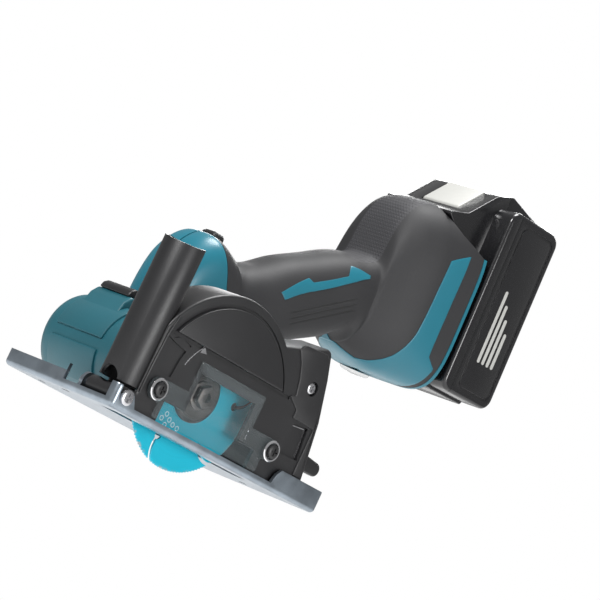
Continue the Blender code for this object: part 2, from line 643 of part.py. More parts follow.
def between(row, other, part):
    return tuple(a + (b - a) * part for a, b in zip(row, other))


def shell_rows():
    """The shells' sections with their depths: full size at the head and the rear rim, sunk between."""
    thin = RUBBER_T + GAP
    bare = HEAD + [between(HEAD[-1], GRIP[0], 0.1)]
    covered = [between(HEAD[-1], GRIP[0], 0.15)] + GRIP + FOOT + [between(FOOT[-1], FOOT_REAR, 0.35)]
    rim = [between(FOOT[-1], FOOT_REAR, 0.36), FOOT_REAR]
    return bare + covered + rim, [0] * len(bare) + [thin] * len(covered) + [0] * len(rim)


def shell_cutters():
    """What both halves leave room for: the motor barrel, the battery, the buttons and the lens."""
    deep = SHELL_T + RUBBER_T + GAP
    bare = [HEAD_OPENING] + HEAD
    covered = GRIP + FOOT + [FOOT_OPENING]
    cavity = solid_skin("shell_cavity", sunk(bare + covered, [SHELL_T] * len(bare) + [deep] * len(covered)))
    barrel = rod("barrel_room", BARREL_R + GAP, 20, 130, (MOTOR_X, MOTOR_Z), sides=32)
    top = plate("pack_room", [(180, 240), (180, 182.2), (191, 175.2), (208, 168.8), (230, 168.8), (230, 240)],
                30, 140)
    lean(top)
    button = box("lock_off_room", (43.9, MID_Y - 5.4, 92), (53.1, MID_Y + 5.4, 125))
    paddle = paddle_block("paddle_room", 0.5, 12)
    lens = box("lens_room", (180 - GAP, MID_Y - 7 - GAP, 70), (193 + GAP, MID_Y + 7 + GAP, 92))
    return [cavity, barrel, top, button, paddle, lens]


def half_space(name, near):
    if near:
        return box(name, (-60, 20, -20), (260, MID_Y - GAP / 2, 260))
    return box(name, (-60, MID_Y + GAP / 2, -20), (260, 150, 260))


def housing(name, near):
    shell = solid_skin(name, sunk(*shell_rows()), "teal")
    keep(shell, half_space(name + "_half", near))
    return shell


def rubber_wall(name, finish):
    """The soft cover's own thickness, from just behind the head to just ahead of the battery."""
    rows = [between(HEAD[-1], GRIP[0], 0.2)] + GRIP + FOOT + [between(FOOT[-1], FOOT_REAR, 0.34)]
    return wall(name, sunk(rows, [0] * len(rows)), sunk(rows, [RUBBER_T] * len(rows)), finish)


def inlay_outline(grow):
    """The zigzag of the grip's coloured inlay, or the slightly larger pocket that it lies in."""
    along, rise = Vector((cos(GRIP_TURN), sin(GRIP_TURN))), Vector((-sin(GRIP_TURN), cos(GRIP_TURN)))
    centre = Vector(INLAY_AT)
    points = [centre + along * a + rise * r for a, r in INLAY_CORNERS]
    made = []
    for before, here, after in zip(points[-1:] + points[:-1], points, points[1:] + points[:1]):
        first, second = (here - before).normalized(), (after - here).normalized()
        out, next_out = Vector((-first.y, first.x)), Vector((-second.y, second.x))
        made.append(tuple(here + (out + next_out) * (grow / (1 + out.dot(next_out)))))
    return made


def inlay(name, near):
    """A hard inlay on one side of the grip, level with the rubber round it."""
    low, high = (40, MID_Y - 8) if near else (MID_Y + 8, 130)
    return keep(rubber_wall(name, "teal"), plate(name + "_edge", inlay_outline(0), low, high))


def paddle_block(name, grow, deep, finish=None):
    """A long block along the grip's underside; `deep` is how far it reaches into the grip."""
    bm = bmesh.new()
    bmesh.ops.create_cube(bm, size=1.0)
    bmesh.ops.scale(bm, vec=(44 + 2 * grow, 14 + 2 * grow, deep + 4.0 + grow), verts=bm.verts)
    bmesh.ops.translate(bm, vec=(22, 0, (deep + 4.0 + grow) / 2 - 4.0 - grow), verts=bm.verts)
    bmesh.ops.rotate(bm, matrix=Matrix.Rotation(-GRIP_TURN, 3, "Y"), verts=bm.verts)
    return from_bmesh(name, bm, finish, PADDLE_AT)


def lean(obj):
    """Leans an upright battery-side shape forward about the pack's lower front edge."""
    pivot = world(LEAN_X, 0, LEAN_Z)
    turn = Matrix.Translation(pivot) @ Matrix.Rotation(-LEAN, 4, "Y") @ Matrix.Translation(-pivot)
    bpy.context.view_layer.update()
    obj.matrix_world = turn @ obj.matrix_world
    return obj


def build_shells():
    rooms = shell_cutters()
    near = housing("housing_left", True)
    far = housing("housing_right", False)
    cover = rubber_wall("grip_rubber", "rubber")
    inlays = [inlay("grip_inlay_left", True), inlay("grip_inlay_right", False)]
    pocket = plate("inlay_pocket", inlay_outline(GAP), 30, 140)
    screw_rooms = [rod(f"screw_room_{n}", 3.0, y - 1.6, y + 20, (x, z), sides=20)
                   for n, (x, y, z) in enumerate(HOUSING_SCREWS)]
    screw_rooms += [rod(f"screw_hole_{n}", 1.5, y - 12, y + 5, (x, z), sides=12)
                    for n, (x, y, z) in enumerate(HOUSING_SCREWS)]
    cut(near, *rooms)
    cut(far, *rooms, *screw_rooms)
    cut(cover, *rooms[2:], *screw_rooms, pocket)
    return [near, far, cover, *inlays]


def build_controls():
    """Lock-off button, finger paddle, spindle lock, depth lever and the parts behind them."""
    button = box("lock_off_button", (44.3, MID_Y - 5, 96.5), (52.7, MID_Y + 5, 108), "black_plastic", 1.0)
    paddle = paddle_block("switch_paddle", 0, 6.5, "black_plastic")
    round_edges(paddle, 1.2)
    group("paddle_axis", PADDLE_HINGE, [paddle])
    lock = rod("spindle_lock_button", 4.0, 46.0, 56.5, (MOTOR_X - 4, 19.5), "black_plastic", "Z", 24)
    round_edges(lock, 0.6, 1)
    x, z = bolt_station()
    arm = plate("depth_lever", arc(x, z, 6.5, 110, 250, 10) + arc(x + 44, z - 2, 3.6, -80, 80, 8),
                CASE_Y1 + 0.6, CASE_Y1 + 5.6, "black_plastic")
    cut(arm, rod("lever_bore", 1.9 + GAP, 5, 20, (x, z), sides=16))
    group("lever_axis", (x, CASE_Y1, z), [arm])
    box("switch_unit", (89, MID_Y - 8, 86), (110, MID_Y + 8, 96), "black_plastic", 0.8, 1)
    return [button, lock]


def build_foot_parts():
    lens = box("lamp_lens", (180, MID_Y - 7, 84), (193, MID_Y + 7, 91.5), "clear", 1.5)
    board = box("controller", (164, MID_Y - 17, 110), (179, MID_Y + 17, 148), "board", 0.8, 1)
    block = lean(box("terminal_block", (184, MID_Y - 18, 112), (197, MID_Y + 18, 150), "black_plastic", 1, 1))
    return [lens, board, block]


# ---------------------------------------------------------------- battery


def rounded(x0, x1, z0, z1, radius, steps=5):
    """A rectangle in x and z with round corners."""
    corners = ((x1, z1, 0), (x0, z1, 90), (x0, z0, 180), (x1, z0, 270))
    points = []
    for x, z, first in corners:
        cx = x - copysign(radius, x - (x0 + x1) / 2)
        cz = z - copysign(radius, z - (z0 + z1) / 2)
        points += arc(cx, cz, radius, first, first + 90, steps)
    return points


def pack_body(name, finish, first, last):
    """The battery's outer form between two x stations: a slab with a raised spine, hollow inside."""
    body = plate(name, rounded(PACK_X0, PACK_X1, PACK_Z0, PACK_Z1, PACK_CORNER), PACK_Y0, PACK_Y1, finish)
    round_edges(body, 1.5, 1)
    spine = plate(name + "_spine", SPINE, RAIL_Y0, RAIL_Y1)
    room = box(name + "_room", (PACK_X0 + PACK_WALL, PACK_Y0 + PACK_WALL, PACK_Z0 + PACK_WALL),
               (PACK_X1 - PACK_WALL, PACK_Y1 - PACK_WALL, PACK_Z1 - PACK_WALL), bevel=PACK_CORNER - PACK_WALL)
    rail_room = box(name + "_rail_room", (201.5, RAIL_Y0 + PACK_WALL, 104), (226, RAIL_Y1 - PACK_WALL, 160))
    cut(fuse(body, spine), room, rail_room)
    keep(body, box(name + "_span", (first, 30, 60), (last, 140, 240)))
    return body


def battery_pack():
    upper = pack_body("battery_cover", "black_plastic", 150, PACK_SEAM - GAP / 2)
    lower = pack_body("battery_tray", "black_plastic", PACK_SEAM + GAP / 2, 300)
    well = plate("button_room", [(195.6, 215), (195.6, 181), (201, 181), (212.4, 192.5), (212.4, 215)],
                 MID_Y - 13.9, MID_Y + 13.9)
    cut(upper, well)
    button = plate("battery_button", [(196.2, 190.9), (196.2, 186), (198.6, 186), (211.8, 198.8),
                                      (211.8, 205.9)], MID_Y - 13.4, MID_Y + 13.4, "grey")
    cells = None
    for row in range(2):
        for place in range(CELLS):
            centre = (227.6 + row * CELL_PITCH, 111.2 + place * CELL_PITCH)
            name = "cell_pack" if cells is None else f"cell_{row}_{place}"
            cell = rod(name, CELL_R, MID_Y - CELL_L / 2, MID_Y + CELL_L / 2, centre,
                       "cell" if cells is None else None, sides=14)
            cells = cell if cells is None else fuse(cells, cell)
    for side in (-1, 1):
        y = MID_Y + side * (CELL_L / 2 - 2)
        cells = fuse(cells, box(f"cell_frame_{side}", (219.8, y - 3, 104), (254, y + 3, 193)))
    for part in (upper, lower, button, cells):
        lean(part)
    for helper in list(CUTTERS.objects):
        if helper.name.startswith(("battery_", "button_room", "cell_")):
            lean(helper)
    group("battery_slide", (LEAN_X, MID_Y, LEAN_Z), [upper, lower, cells, button])


def build_screws():
    """Screws that hold the far half of the body to the near half."""
    return [screw(f"housing_screw_{number}", (x, z), y - 0.1, 2.6, 1.2, 1.2, 5, far=True)
            for number, (x, y, z) in enumerate(HOUSING_SCREWS, 1)]


clear_scene()
PARTS = collection("cordless_circular_saw")
CUTTERS = collection("cutters", hidden=True)
build_base()
fixed_parts = build_case()
build_blade_group()
fixed_parts += [gear_housing(), motor_barrel()]
fixed_parts += build_shells() + build_screws() + build_controls() + build_foot_parts()
battery_pack()
group("hinge_axis", (PIVOT_X, 0, PIVOT_Z), fixed_parts)
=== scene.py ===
"""A cordless circular saw, dressed for its picture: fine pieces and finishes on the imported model's frame.

Stations are in millimetres: x rearward from the blade's axis, y away from the blade towards the motor,
z up from the sole of the base. at() turns a station into the frame's metres.
"""

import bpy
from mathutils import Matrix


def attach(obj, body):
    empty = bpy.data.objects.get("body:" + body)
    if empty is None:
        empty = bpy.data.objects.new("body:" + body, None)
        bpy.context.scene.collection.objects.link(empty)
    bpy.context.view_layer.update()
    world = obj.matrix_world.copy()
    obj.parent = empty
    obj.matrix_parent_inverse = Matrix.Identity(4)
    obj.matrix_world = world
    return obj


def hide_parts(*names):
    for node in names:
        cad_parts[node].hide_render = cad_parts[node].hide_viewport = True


bl_info = {
    "name": "Cordless circular saw",
    "version": (1, 0, 0),
    "blender": (4, 5, 0),
    "location": "View3D > Sidebar > Saw",
    "description": "Builds a small cordless circular saw piece by piece on its packed frame",
    "category": "Object",
}

from math import acos, atan2, copysign, cos, degrees, hypot, pi, radians, sin, sqrt

import bpy
from mathutils import Matrix, Vector

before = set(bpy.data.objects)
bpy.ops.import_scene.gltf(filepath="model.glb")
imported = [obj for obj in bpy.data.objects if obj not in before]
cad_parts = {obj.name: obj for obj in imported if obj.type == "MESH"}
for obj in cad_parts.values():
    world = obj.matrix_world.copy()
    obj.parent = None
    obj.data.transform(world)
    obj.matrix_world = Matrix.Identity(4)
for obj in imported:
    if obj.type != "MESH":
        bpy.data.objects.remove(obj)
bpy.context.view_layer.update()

MM = 0.001
GAP = 0.3
ORIGIN_X, ORIGIN_Y = 16.5, 23.5
MID_Y = 85.0

# (x, z) of the axes and screws, and the y of the case's outer face
BLADE_CENTRE, MOTOR_CENTRE, PIVOT, CASE_SCREW = (0, 24.8), (10, 29), (-53, 7), (57.6, 52.6)
COVER_SCREWS = ((-35.9, 17.3), (47.9, 17.1))
CASE_FACE = -12.0
GUIDE_RADIUS, GUIDE_ANGLE = 118, 8
GRIP_TURN = 29.5
SPINE = [(199, 98), (211.5, 98), (211.5, 94.5), (250, 94.5), (254, 101), (254, 202.8), (240, 205.5), (224, 209),
         (211, 204.5), (194.5, 188.5), (180.6, 184.2), (180.6, 182.8), (191.2, 175.8), (208.4, 169.2),
         (214, 169.2), (214, 166), (199, 166)]


def at(x, y, z):
    """The frame's point for a station in millimetres."""
    return Vector(((x - ORIGIN_X) * MM, (y - ORIGIN_Y) * MM, z * MM))


def arc(cx, cz, radius, first, last, steps):
    """Points on a circle from one angle in degrees to another."""
    turns = [radians(first + (last - first) * i / steps) for i in range(steps + 1)]
    return [(cx + radius * cos(t), cz + radius * sin(t)) for t in turns]


# ---------------------------------------------------------------- sizes and colours


class SawSizes(bpy.types.PropertyGroup):
    """Sizes of the saw's outer pieces."""
    blade_radius: bpy.props.FloatProperty(
        name="Blade radius", description="Radius over the tips of the blade's teeth",
        default=0.038, unit="LENGTH")
    blade_teeth: bpy.props.IntProperty(
        name="Blade teeth", description="Number of fine teeth round the blade", default=132, min=24)
    barrel_radius: bpy.props.FloatProperty(
        name="Barrel radius", description="Radius of the motor barrel", default=0.024, unit="LENGTH")
    steel_thickness: bpy.props.FloatProperty(
        name="Base steel", description="Thickness of the base's pressed steel", default=0.0018, unit="LENGTH")
    edge_round: bpy.props.FloatProperty(
        name="Edge rounding", description="Rounding of the blade case's outer edges",
        default=0.0014, unit="LENGTH")
    rubber_thickness: bpy.props.FloatProperty(
        name="Rubber thickness", description="Thickness of the soft cover on the grip",
        default=0.0016, unit="LENGTH")


def colour_property(name, description, default):
    return bpy.props.FloatVectorProperty(name=name, description=description, default=default,
                                         subtype="COLOR", size=3, min=0.0, max=1.0)


class SawColours(bpy.types.PropertyGroup):
    """Colours of the saw's finishes."""
    case: colour_property("Blade case", "Glass-filled nylon of the blade case", (0.009, 0.009, 0.010))
    rubber: colour_property("Rubber", "Soft cover of the grip and foot", (0.012, 0.012, 0.0135))
    shell: colour_property("Shell", "Coloured plastic of the head, strips and inlays", (0.006, 0.125, 0.175))
    # The barrel colour is a darker copy of the shell teal: painted shade.
    barrel: colour_property("Barrel", "Darker coloured plastic of the motor barrel", (0.010, 0.085, 0.110))
    blade: colour_property("Blade", "Bright coating of the saw blade", (0.0, 0.43, 0.58))
    zinc: colour_property("Zinc", "Zinc-plated steel of the base", (0.27, 0.31, 0.35))
    battery: colour_property("Battery", "Glossy plastic of the battery", (0.006, 0.006, 0.007))
    button: colour_property("Button", "Light grey release button", (0.42, 0.42, 0.40))


def sizes():
    return bpy.context.scene.saw_sizes


def colours():
    return bpy.context.scene.saw_colours


# ---------------------------------------------------------------- modelling


def fresh():
    """Back to object mode with nothing selected."""
    if bpy.context.object and bpy.context.object.mode != "OBJECT":
        bpy.ops.object.mode_set(mode="OBJECT")
    bpy.ops.object.select_all(action="DESELECT")


def active(piece):
    fresh()
    piece.select_set(True)
    bpy.context.view_layer.objects.active = piece
    return piece


def named(name):
    piece = bpy.context.object
    piece.name = piece.data.name = name
    return piece


def tidy_faces(piece, distance=0.002):
    """Merges corners that meet, drops loose edges and points the faces outwards."""
    active(piece)
    bpy.ops.object.mode_set(mode="EDIT")
    bpy.ops.mesh.select_all(action="SELECT")
    bpy.ops.mesh.remove_doubles(threshold=distance * MM)
    bpy.ops.mesh.delete_loose()
    bpy.ops.mesh.select_all(action="SELECT")
    bpy.ops.mesh.normals_make_consistent(inside=False)
    bpy.ops.object.mode_set(mode="OBJECT")
    return piece


def use(piece, kind, **settings):
    """Adds a modifier and applies it."""
    step = piece.modifiers.new(kind.title(), kind)
    for key, value in settings.items():
        setattr(step, key, value)
    active(piece)
    bpy.ops.object.modifier_apply(modifier=step.name)
    return piece


def rounded(piece, width, segments=3, angle=32):
    return use(piece, "BEVEL", width=width * MM, segments=segments, limit_method="ANGLE",
               angle_limit=radians(angle), harden_normals=False)


def outline(name, points, y0, y1, bevel=0.0, segments=3):
    """A flat outline of (x, z) stations, extruded from one y station to the other."""
    fresh()
    bpy.ops.mesh.primitive_circle_add(vertices=len(points), radius=0.01, fill_type="NGON")
    piece = named(name)
    for vert, (x, z) in zip(piece.data.vertices, points):
        vert.co = at(x, y0, z)
    bpy.ops.object.mode_set(mode="EDIT")
    bpy.ops.mesh.select_all(action="SELECT")
    bpy.ops.mesh.extrude_region_move(TRANSFORM_OT_translate={"value": (0, (y1 - y0) * MM, 0)})
    tidy_faces(piece)
    return rounded(piece, bevel, segments) if bevel else piece


def cube(name, low, high, bevel=0.0, segments=3):
    """A block between two corner stations, its edges rounded."""
    fresh()
    middle = [(a + b) / 2 for a, b in zip(low, high)]
    bpy.ops.mesh.primitive_cube_add(size=1, location=at(*middle),
                                    scale=[(b - a) * MM for a, b in zip(low, high)])
    piece = placed(named(name))
    return rounded(piece, bevel, segments) if bevel else piece


def placed(piece):
    """Puts the piece's place, turn and size into its mesh."""
    active(piece)
    bpy.ops.object.transform_apply(location=True, rotation=True, scale=True)
    return piece


def rod(name, radius, start, end, centre, axis="Y", sides=64):
    """A cylinder along an axis from one station to another."""
    fresh()
    turns = {"X": (0, pi / 2, 0), "Y": (pi / 2, 0, 0), "Z": (0, 0, 0)}
    place = list(centre)
    place.insert("XYZ".index(axis), (start + end) / 2)
    bpy.ops.mesh.primitive_cylinder_add(vertices=sides, radius=radius * MM, depth=(end - start) * MM,
                                        location=at(*place), rotation=turns[axis])
    return placed(named(name))


def turned(name, profile, centre, axis="Y", steps=96):
    """A ring of (radius, station) corners turned about an axis; corners on the axis close the ends."""
    fresh()
    bpy.ops.mesh.primitive_circle_add(vertices=len(profile), radius=0.01, fill_type="NOTHING")
    piece = named(name)
    upright = axis == "Z"
    for vert, (radius, station) in zip(piece.data.vertices, profile):
        a, b = centre
        vert.co = at(a + radius, b, station) if upright else at(a + radius, station, b)
    middle = at(centre[0], centre[1], 0) if upright else at(centre[0], 0, centre[1])
    bpy.ops.object.mode_set(mode="EDIT")
    bpy.ops.mesh.select_all(action="SELECT")
    bpy.ops.mesh.spin(steps=steps, angle=2 * pi, center=middle, axis=(0, 0, 1) if upright else (0, 1, 0))
    return tidy_faces(piece)


def combined(piece, others, operation):
    for other in others:
        use(piece, "BOOLEAN", operation=operation, object=other, solver="EXACT")
        bpy.data.objects.remove(other, do_unlink=True)
    return piece


def cut(piece, *others):
    return combined(piece, others, "DIFFERENCE")


def fuse(piece, *others):
    return combined(piece, others, "UNION")


def joined(piece, *others):
    """One object from several, their finishes kept."""
    active(piece)
    for other in others:
        other.select_set(True)
    bpy.ops.object.join()
    return piece


def wrapped(name, surface, across, along, outward):
    """A grid laid on a surface of (u, v) from 0 to 1, facing the way `outward` gives at its middle."""
    fresh()
    bpy.ops.mesh.primitive_grid_add(x_subdivisions=across, y_subdivisions=along, size=1)
    piece = named(name)
    for vert in piece.data.vertices:
        vert.co = surface(vert.co.x + 0.5, vert.co.y + 0.5)
    bpy.ops.object.mode_set(mode="EDIT")
    bpy.ops.mesh.select_all(action="SELECT")
    bpy.ops.mesh.remove_doubles(threshold=0.004 * MM)
    bpy.ops.object.mode_set(mode="OBJECT")
    facing = sum(face.area * face.normal.dot(outward(face.center)) for face in piece.data.polygons)
    if facing < 0:
        bpy.ops.object.mode_set(mode="EDIT")
        bpy.ops.mesh.select_all(action="SELECT")
        bpy.ops.mesh.flip_normals()
        bpy.ops.object.mode_set(mode="OBJECT")
    return piece


def finished(piece, finish, slot, body, *nodes):
    """Smooths the piece, gives it its finish, hangs it on its body and hides the given CAD nodes."""
    active(piece)
    bpy.ops.object.shade_smooth_by_angle(angle=radians(38))
    if finish and not piece.data.materials:
        piece.data.materials.append(finish)
    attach(piece, body)
    if nodes:
        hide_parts(*nodes)
    return piece


# ---------------------------------------------------------------- finishes


class Field:
    """A value that varies over a surface; arithmetic on it adds Math nodes."""

    def __init__(self, finish, socket):
        self.finish, self.socket = finish, socket

    def _math(self, operation, first, second):
        return self.finish.node("ShaderNodeMath", {0: first, 1: second}, operation=operation)

    def __add__(self, other):
        return self._math("ADD", self, other)

    __radd__ = __add__

    def __sub__(self, other):
        return self._math("SUBTRACT", self, other)

    def __rsub__(self, other):
        return self._math("SUBTRACT", other, self)

    def __mul__(self, other):
        return self._math("MULTIPLY", self, other)

    __rmul__ = __mul__

    def __abs__(self):
        return self._math("ABSOLUTE", self, 0.0)

    def __mod__(self, other):
        return self._math("FLOORED_MODULO", self, other)

    def ramp(self, low, high):
        """0 below low, 1 above high and smooth between; low above high turns it round."""
        return self.finish.node("ShaderNodeMapRange", {0: self, 1: low, 2: high, 3: 0.0, 4: 1.0},
                                interpolation_type="SMOOTHSTEP")


class Finish:
    """A procedural material on one Principled shader."""

    def __init__(self, name, roughness, metallic=0.0, **constants):
        self.material = bpy.data.materials.new(name)
        self.material.use_nodes = True
        self.tree = self.material.node_tree
        self.shader = self.tree.nodes["Principled BSDF"]
        self.shader.inputs["Roughness"].default_value = roughness
        self.shader.inputs["Metallic"].default_value = metallic
        for key, value in constants.items():
            self.shader.inputs[key.replace("_", " ")].default_value = value
        self.place = self.node("ShaderNodeTexCoord", {}, output="Object")

    def node(self, kind, sockets, output=0, **settings):
        """Adds a node: its settings first, then the values or links of its sockets."""
        made = self.tree.nodes.new(kind)
        for key, value in settings.items():
            setattr(made, key, value)
        for key, value in sockets.items():
            self.put(made.inputs[key], value)
        return Field(self, made.outputs[output])

    def put(self, socket, value):
        if isinstance(value, Field):
            self.tree.links.new(value.socket, socket)
        else:
            socket.default_value = value

    def noise(self, size, detail=2.0, stretch=(1, 1, 1)):
        """Noise whose features are about `size` millimetres."""
        place = self.node("ShaderNodeMapping", {"Vector": self.place, "Scale": stretch})
        return self.node("ShaderNodeTexNoise", {"Vector": place, "Scale": 1 / (size * MM), "Detail": detail})

    def axis(self, name):
        return self.node("ShaderNodeSeparateXYZ", {0: self.place}, output=name) * (1 / MM)

    def mixed(self, mask, first, second):
        return self.node("ShaderNodeMix", {0: mask, 6: first, 7: second}, output=2, data_type="RGBA")

    def colour(self, value):
        self.put(self.shader.inputs["Base Color"], value)

    def roughness(self, value):
        self.put(self.shader.inputs["Roughness"], value)

    def relief(self, height, depth, strength=1.0):
        """Bump from a height field of 0 to 1 that stands `depth` millimetres."""
        normal = self.node("ShaderNodeBump", {"Strength": strength, "Distance": depth * MM, "Height": height})
        self.put(self.shader.inputs["Normal"], normal)


def shade(colour, factor):
    return (*[min(1.0, c * factor) for c in colour], 1.0)


def moulded(name, colour, roughness=0.45, grain=0.5, depth=0.04, spread=0.12, **constants):
    """Plastic with a fine moulded grain, faint flow marks and slightly uneven gloss."""
    finish = Finish(name, roughness, **constants)
    flow = finish.noise(22, 3.0)
    fine = finish.noise(grain, 2.0)
    finish.colour(finish.mixed(flow, shade(colour, 1 - spread), shade(colour, 1 + spread)))
    finish.roughness(flow * 0.10 + fine * 0.08 + (roughness - 0.09))
    finish.relief(fine * 0.8 + flow * 0.2, depth)
    return finish.material


def metal(name, colour, roughness=0.3, grain=0.6, depth=0.015, stretch=(1, 1, 1), stain=0.12):
    """Metal with a drawn grain, small stains and worn spots."""
    finish = Finish(name, roughness, 1.0)
    cloud = finish.noise(9, 4.0)
    fine = finish.noise(grain, 2.0, stretch)
    finish.colour(finish.mixed(cloud.ramp(0.3, 0.7), shade(colour, 1 - stain), shade(colour, 1 + stain)))
    finish.roughness(cloud * 0.16 + fine * 0.10 + (roughness - 0.12))
    finish.relief(fine, depth)
    return finish.material


def grip_rubber_finish(colour):
    """Soft rubber: fine spark texture, ribs along the grip with painted shade in their grooves, and a dotted centre on
    the foot.
    """
    finish = Finish("soft_grip_rubber", 0.62)
    fine = finish.noise(0.45, 2.0)
    flow = finish.noise(18, 3.0)
    x, y, z = finish.axis("X"), finish.axis("Y"), finish.axis("Z")
    turn = radians(32)
    along = x * cos(turn) + z * sin(turn) + (-(115 - ORIGIN_X) * cos(turn) - 111 * sin(turn))
    rise = z * cos(turn) - x * sin(turn) + (-111 * cos(turn) + (115 - ORIGIN_X) * sin(turn))
    groove = abs((rise + 30.0) % 2.9 - 1.45).ramp(0.3, 0.75)
    span = along.ramp(-22, -18) * along.ramp(28, 22) * rise.ramp(-19.5, -18.5) * rise.ramp(-8.6, -9.4)
    # ribs is 0 in the grooves: it shapes the relief and also marks where the painted groove shade goes.
    ribs = 1 - (1 - groove) * span
    middle = abs(y + (ORIGIN_Y - MID_Y))
    panel = middle.ramp(13.2, 12.4) * x.ramp(118, 124) * z.ramp(97, 101)
    dots = ((abs(y % 1.9 - 0.95) * -1 + 0.95).ramp(0.3, 0.65)) * ((abs(z % 1.9 - 0.95) * -1 + 0.95).ramp(0.3, 0.65))
    base = finish.mixed(flow, shade(colour, 0.85), shade(colour, 1.2))
    # Painted shade: the rib grooves are darkened to 0.35 of the rubber colour.
    rubber_with_painted_groove_shade = finish.mixed(ribs, shade(colour, 0.35), base)
    finish.colour(finish.mixed(panel * 0.55, rubber_with_painted_groove_shade, shade(colour, 3.2)))
    finish.roughness(fine * 0.12 + flow * 0.1 + 0.5)
    finish.relief(fine * 0.12 + ribs * 0.7 + dots * panel * 0.35, 0.5)
    return finish.material


def blade_finish(colour):
    """A bright sprayed coating with fine turning rings, worn near the teeth."""
    finish = Finish("blade_coating", 0.34, 0.25, Coat_Weight=0.3, Coat_Roughness=0.15)
    x, z = finish.axis("X"), finish.axis("Z")
    dx, dz = x + ORIGIN_X, z - 24.8
    radius = finish.node("ShaderNodeMath", {0: dx * dx + dz * dz}, operation="SQRT")
    rings = finish.node("ShaderNodeTexNoise", {"Vector": finish.node("ShaderNodeCombineXYZ", {0: radius * 1.0}),
                                               "Scale": 2.2, "Detail": 3.0})
    worn = radius.ramp(36.4, 37.6) * finish.noise(3, 3.0).ramp(0.45, 0.65)
    coat = finish.mixed(rings, shade(colour, 0.8), shade(colour, 1.18))
    finish.colour(finish.mixed(worn, coat, (0.30, 0.36, 0.38, 1.0)))
    finish.roughness(rings * 0.15 + worn * 0.15 + 0.25)
    finish.relief(rings, 0.02)
    return finish.material


def clear_finish():
    """Clear polycarbonate: see-through face on, brighter at its edges, with faint scuffs."""
    finish = Finish("clear_polycarbonate", 0.06, Coat_Weight=0.5)
    scuffs = finish.noise(2.5, 4.0, (1, 1, 5)).ramp(0.55, 0.75)
    rim = finish.node("ShaderNodeLayerWeight", {"Blend": 0.25}, output="Facing")
    finish.colour(finish.mixed(scuffs, (0.16, 0.19, 0.20, 1.0), (0.40, 0.44, 0.46, 1.0)))
    finish.put(finish.shader.inputs["Alpha"], rim * 0.5 + scuffs * 0.04 + 0.04)
    finish.roughness(scuffs * 0.12 + 0.03)
    return finish.material


FINISHES = {}


def finish(name):
    """The named finish, made once."""
    if name not in FINISHES:
        c = colours()
        makers = {
            "case": lambda: moulded("glass_filled_nylon", c.case, 0.42, 0.55, 0.05),
            "rubber": lambda: grip_rubber_finish(c.rubber),
            "shell": lambda: moulded("coloured_shell", c.shell, 0.36, 0.5, 0.03, 0.08, Coat_Weight=0.08),
            # Painted shade: the barrel's finish is the shell teal darkened.
            "barrel": lambda: moulded("barrel_teal_painted_shade", c.barrel, 0.4, 0.6, 0.04, 0.08),
            "blade": lambda: blade_finish(c.blade),
            "zinc": lambda: metal("zinc_plate", c.zinc, 0.34, 0.5, 0.02, (0.3, 1, 1)),
            "steel": lambda: metal("bright_steel", (0.58, 0.58, 0.60), 0.24, 0.5, 0.01),
            "chrome": lambda: metal("plated_ring", (0.75, 0.75, 0.77), 0.14, 0.5, 0.004, stain=0.05),
            "oxide": lambda: metal("dark_flange", (0.115, 0.105, 0.10), 0.36, 0.5, 0.02, stain=0.2),
            "battery": lambda: moulded("battery_gloss", c.battery, 0.24, 0.9, 0.012, Coat_Weight=0.35,
                                       Coat_Roughness=0.12),
            "button": lambda: moulded("button_plastic", c.button, 0.38, 0.5, 0.02, 0.05),
            "print": lambda: moulded("pale_print", (0.62, 0.80, 0.84), 0.5, 0.4, 0.005, 0.05),
            "clear": clear_finish,
            "alloy": lambda: metal("cast_alloy", (0.36, 0.37, 0.38), 0.45, 0.7, 0.08),
            "winding": lambda: metal("copper_winding", (0.58, 0.25, 0.10), 0.34, 0.7, 0.15, (1, 0.1, 1)),
            "board": lambda: moulded("circuit_board", (0.02, 0.15, 0.07), 0.45, 1.5, 0.05),
            "cell": lambda: moulded("cell_sleeve", (0.05, 0.22, 0.42), 0.4, 1.0, 0.02),
        }
        FINISHES[name] = makers[name]()
    return FINISHES[name]


# ---------------------------------------------------------------- base


def screw(name, centre, head_y, head_r, head_t, shank_r, length, far=False):
    """A pan-head screw with a cross recess, along y."""
    side = -1 if far else 1
    rim, under, tip = head_y + side * 0.5, head_y + side * head_t, head_y + side * (head_t + length)
    made = turned(name, [(0, head_y), (head_r * 0.62, head_y), (head_r * 0.86, head_y + side * 0.16),
                         (head_r, rim), (head_r, under), (shank_r, under), (shank_r, tip), (0, tip)], centre,
                  steps=48)
    wide, deep, narrow = head_r * 0.6, 0.8, 0.36
    low, high = sorted((head_y - side * 0.5, head_y + side * deep))
    x, z = centre
    cross = [cube(f"{name}_slot", (x - a, low, z - b), (x + a, high, z + b)) for a, b in
             ((wide, narrow), (narrow, wide))]
    return cut(made, *cross)


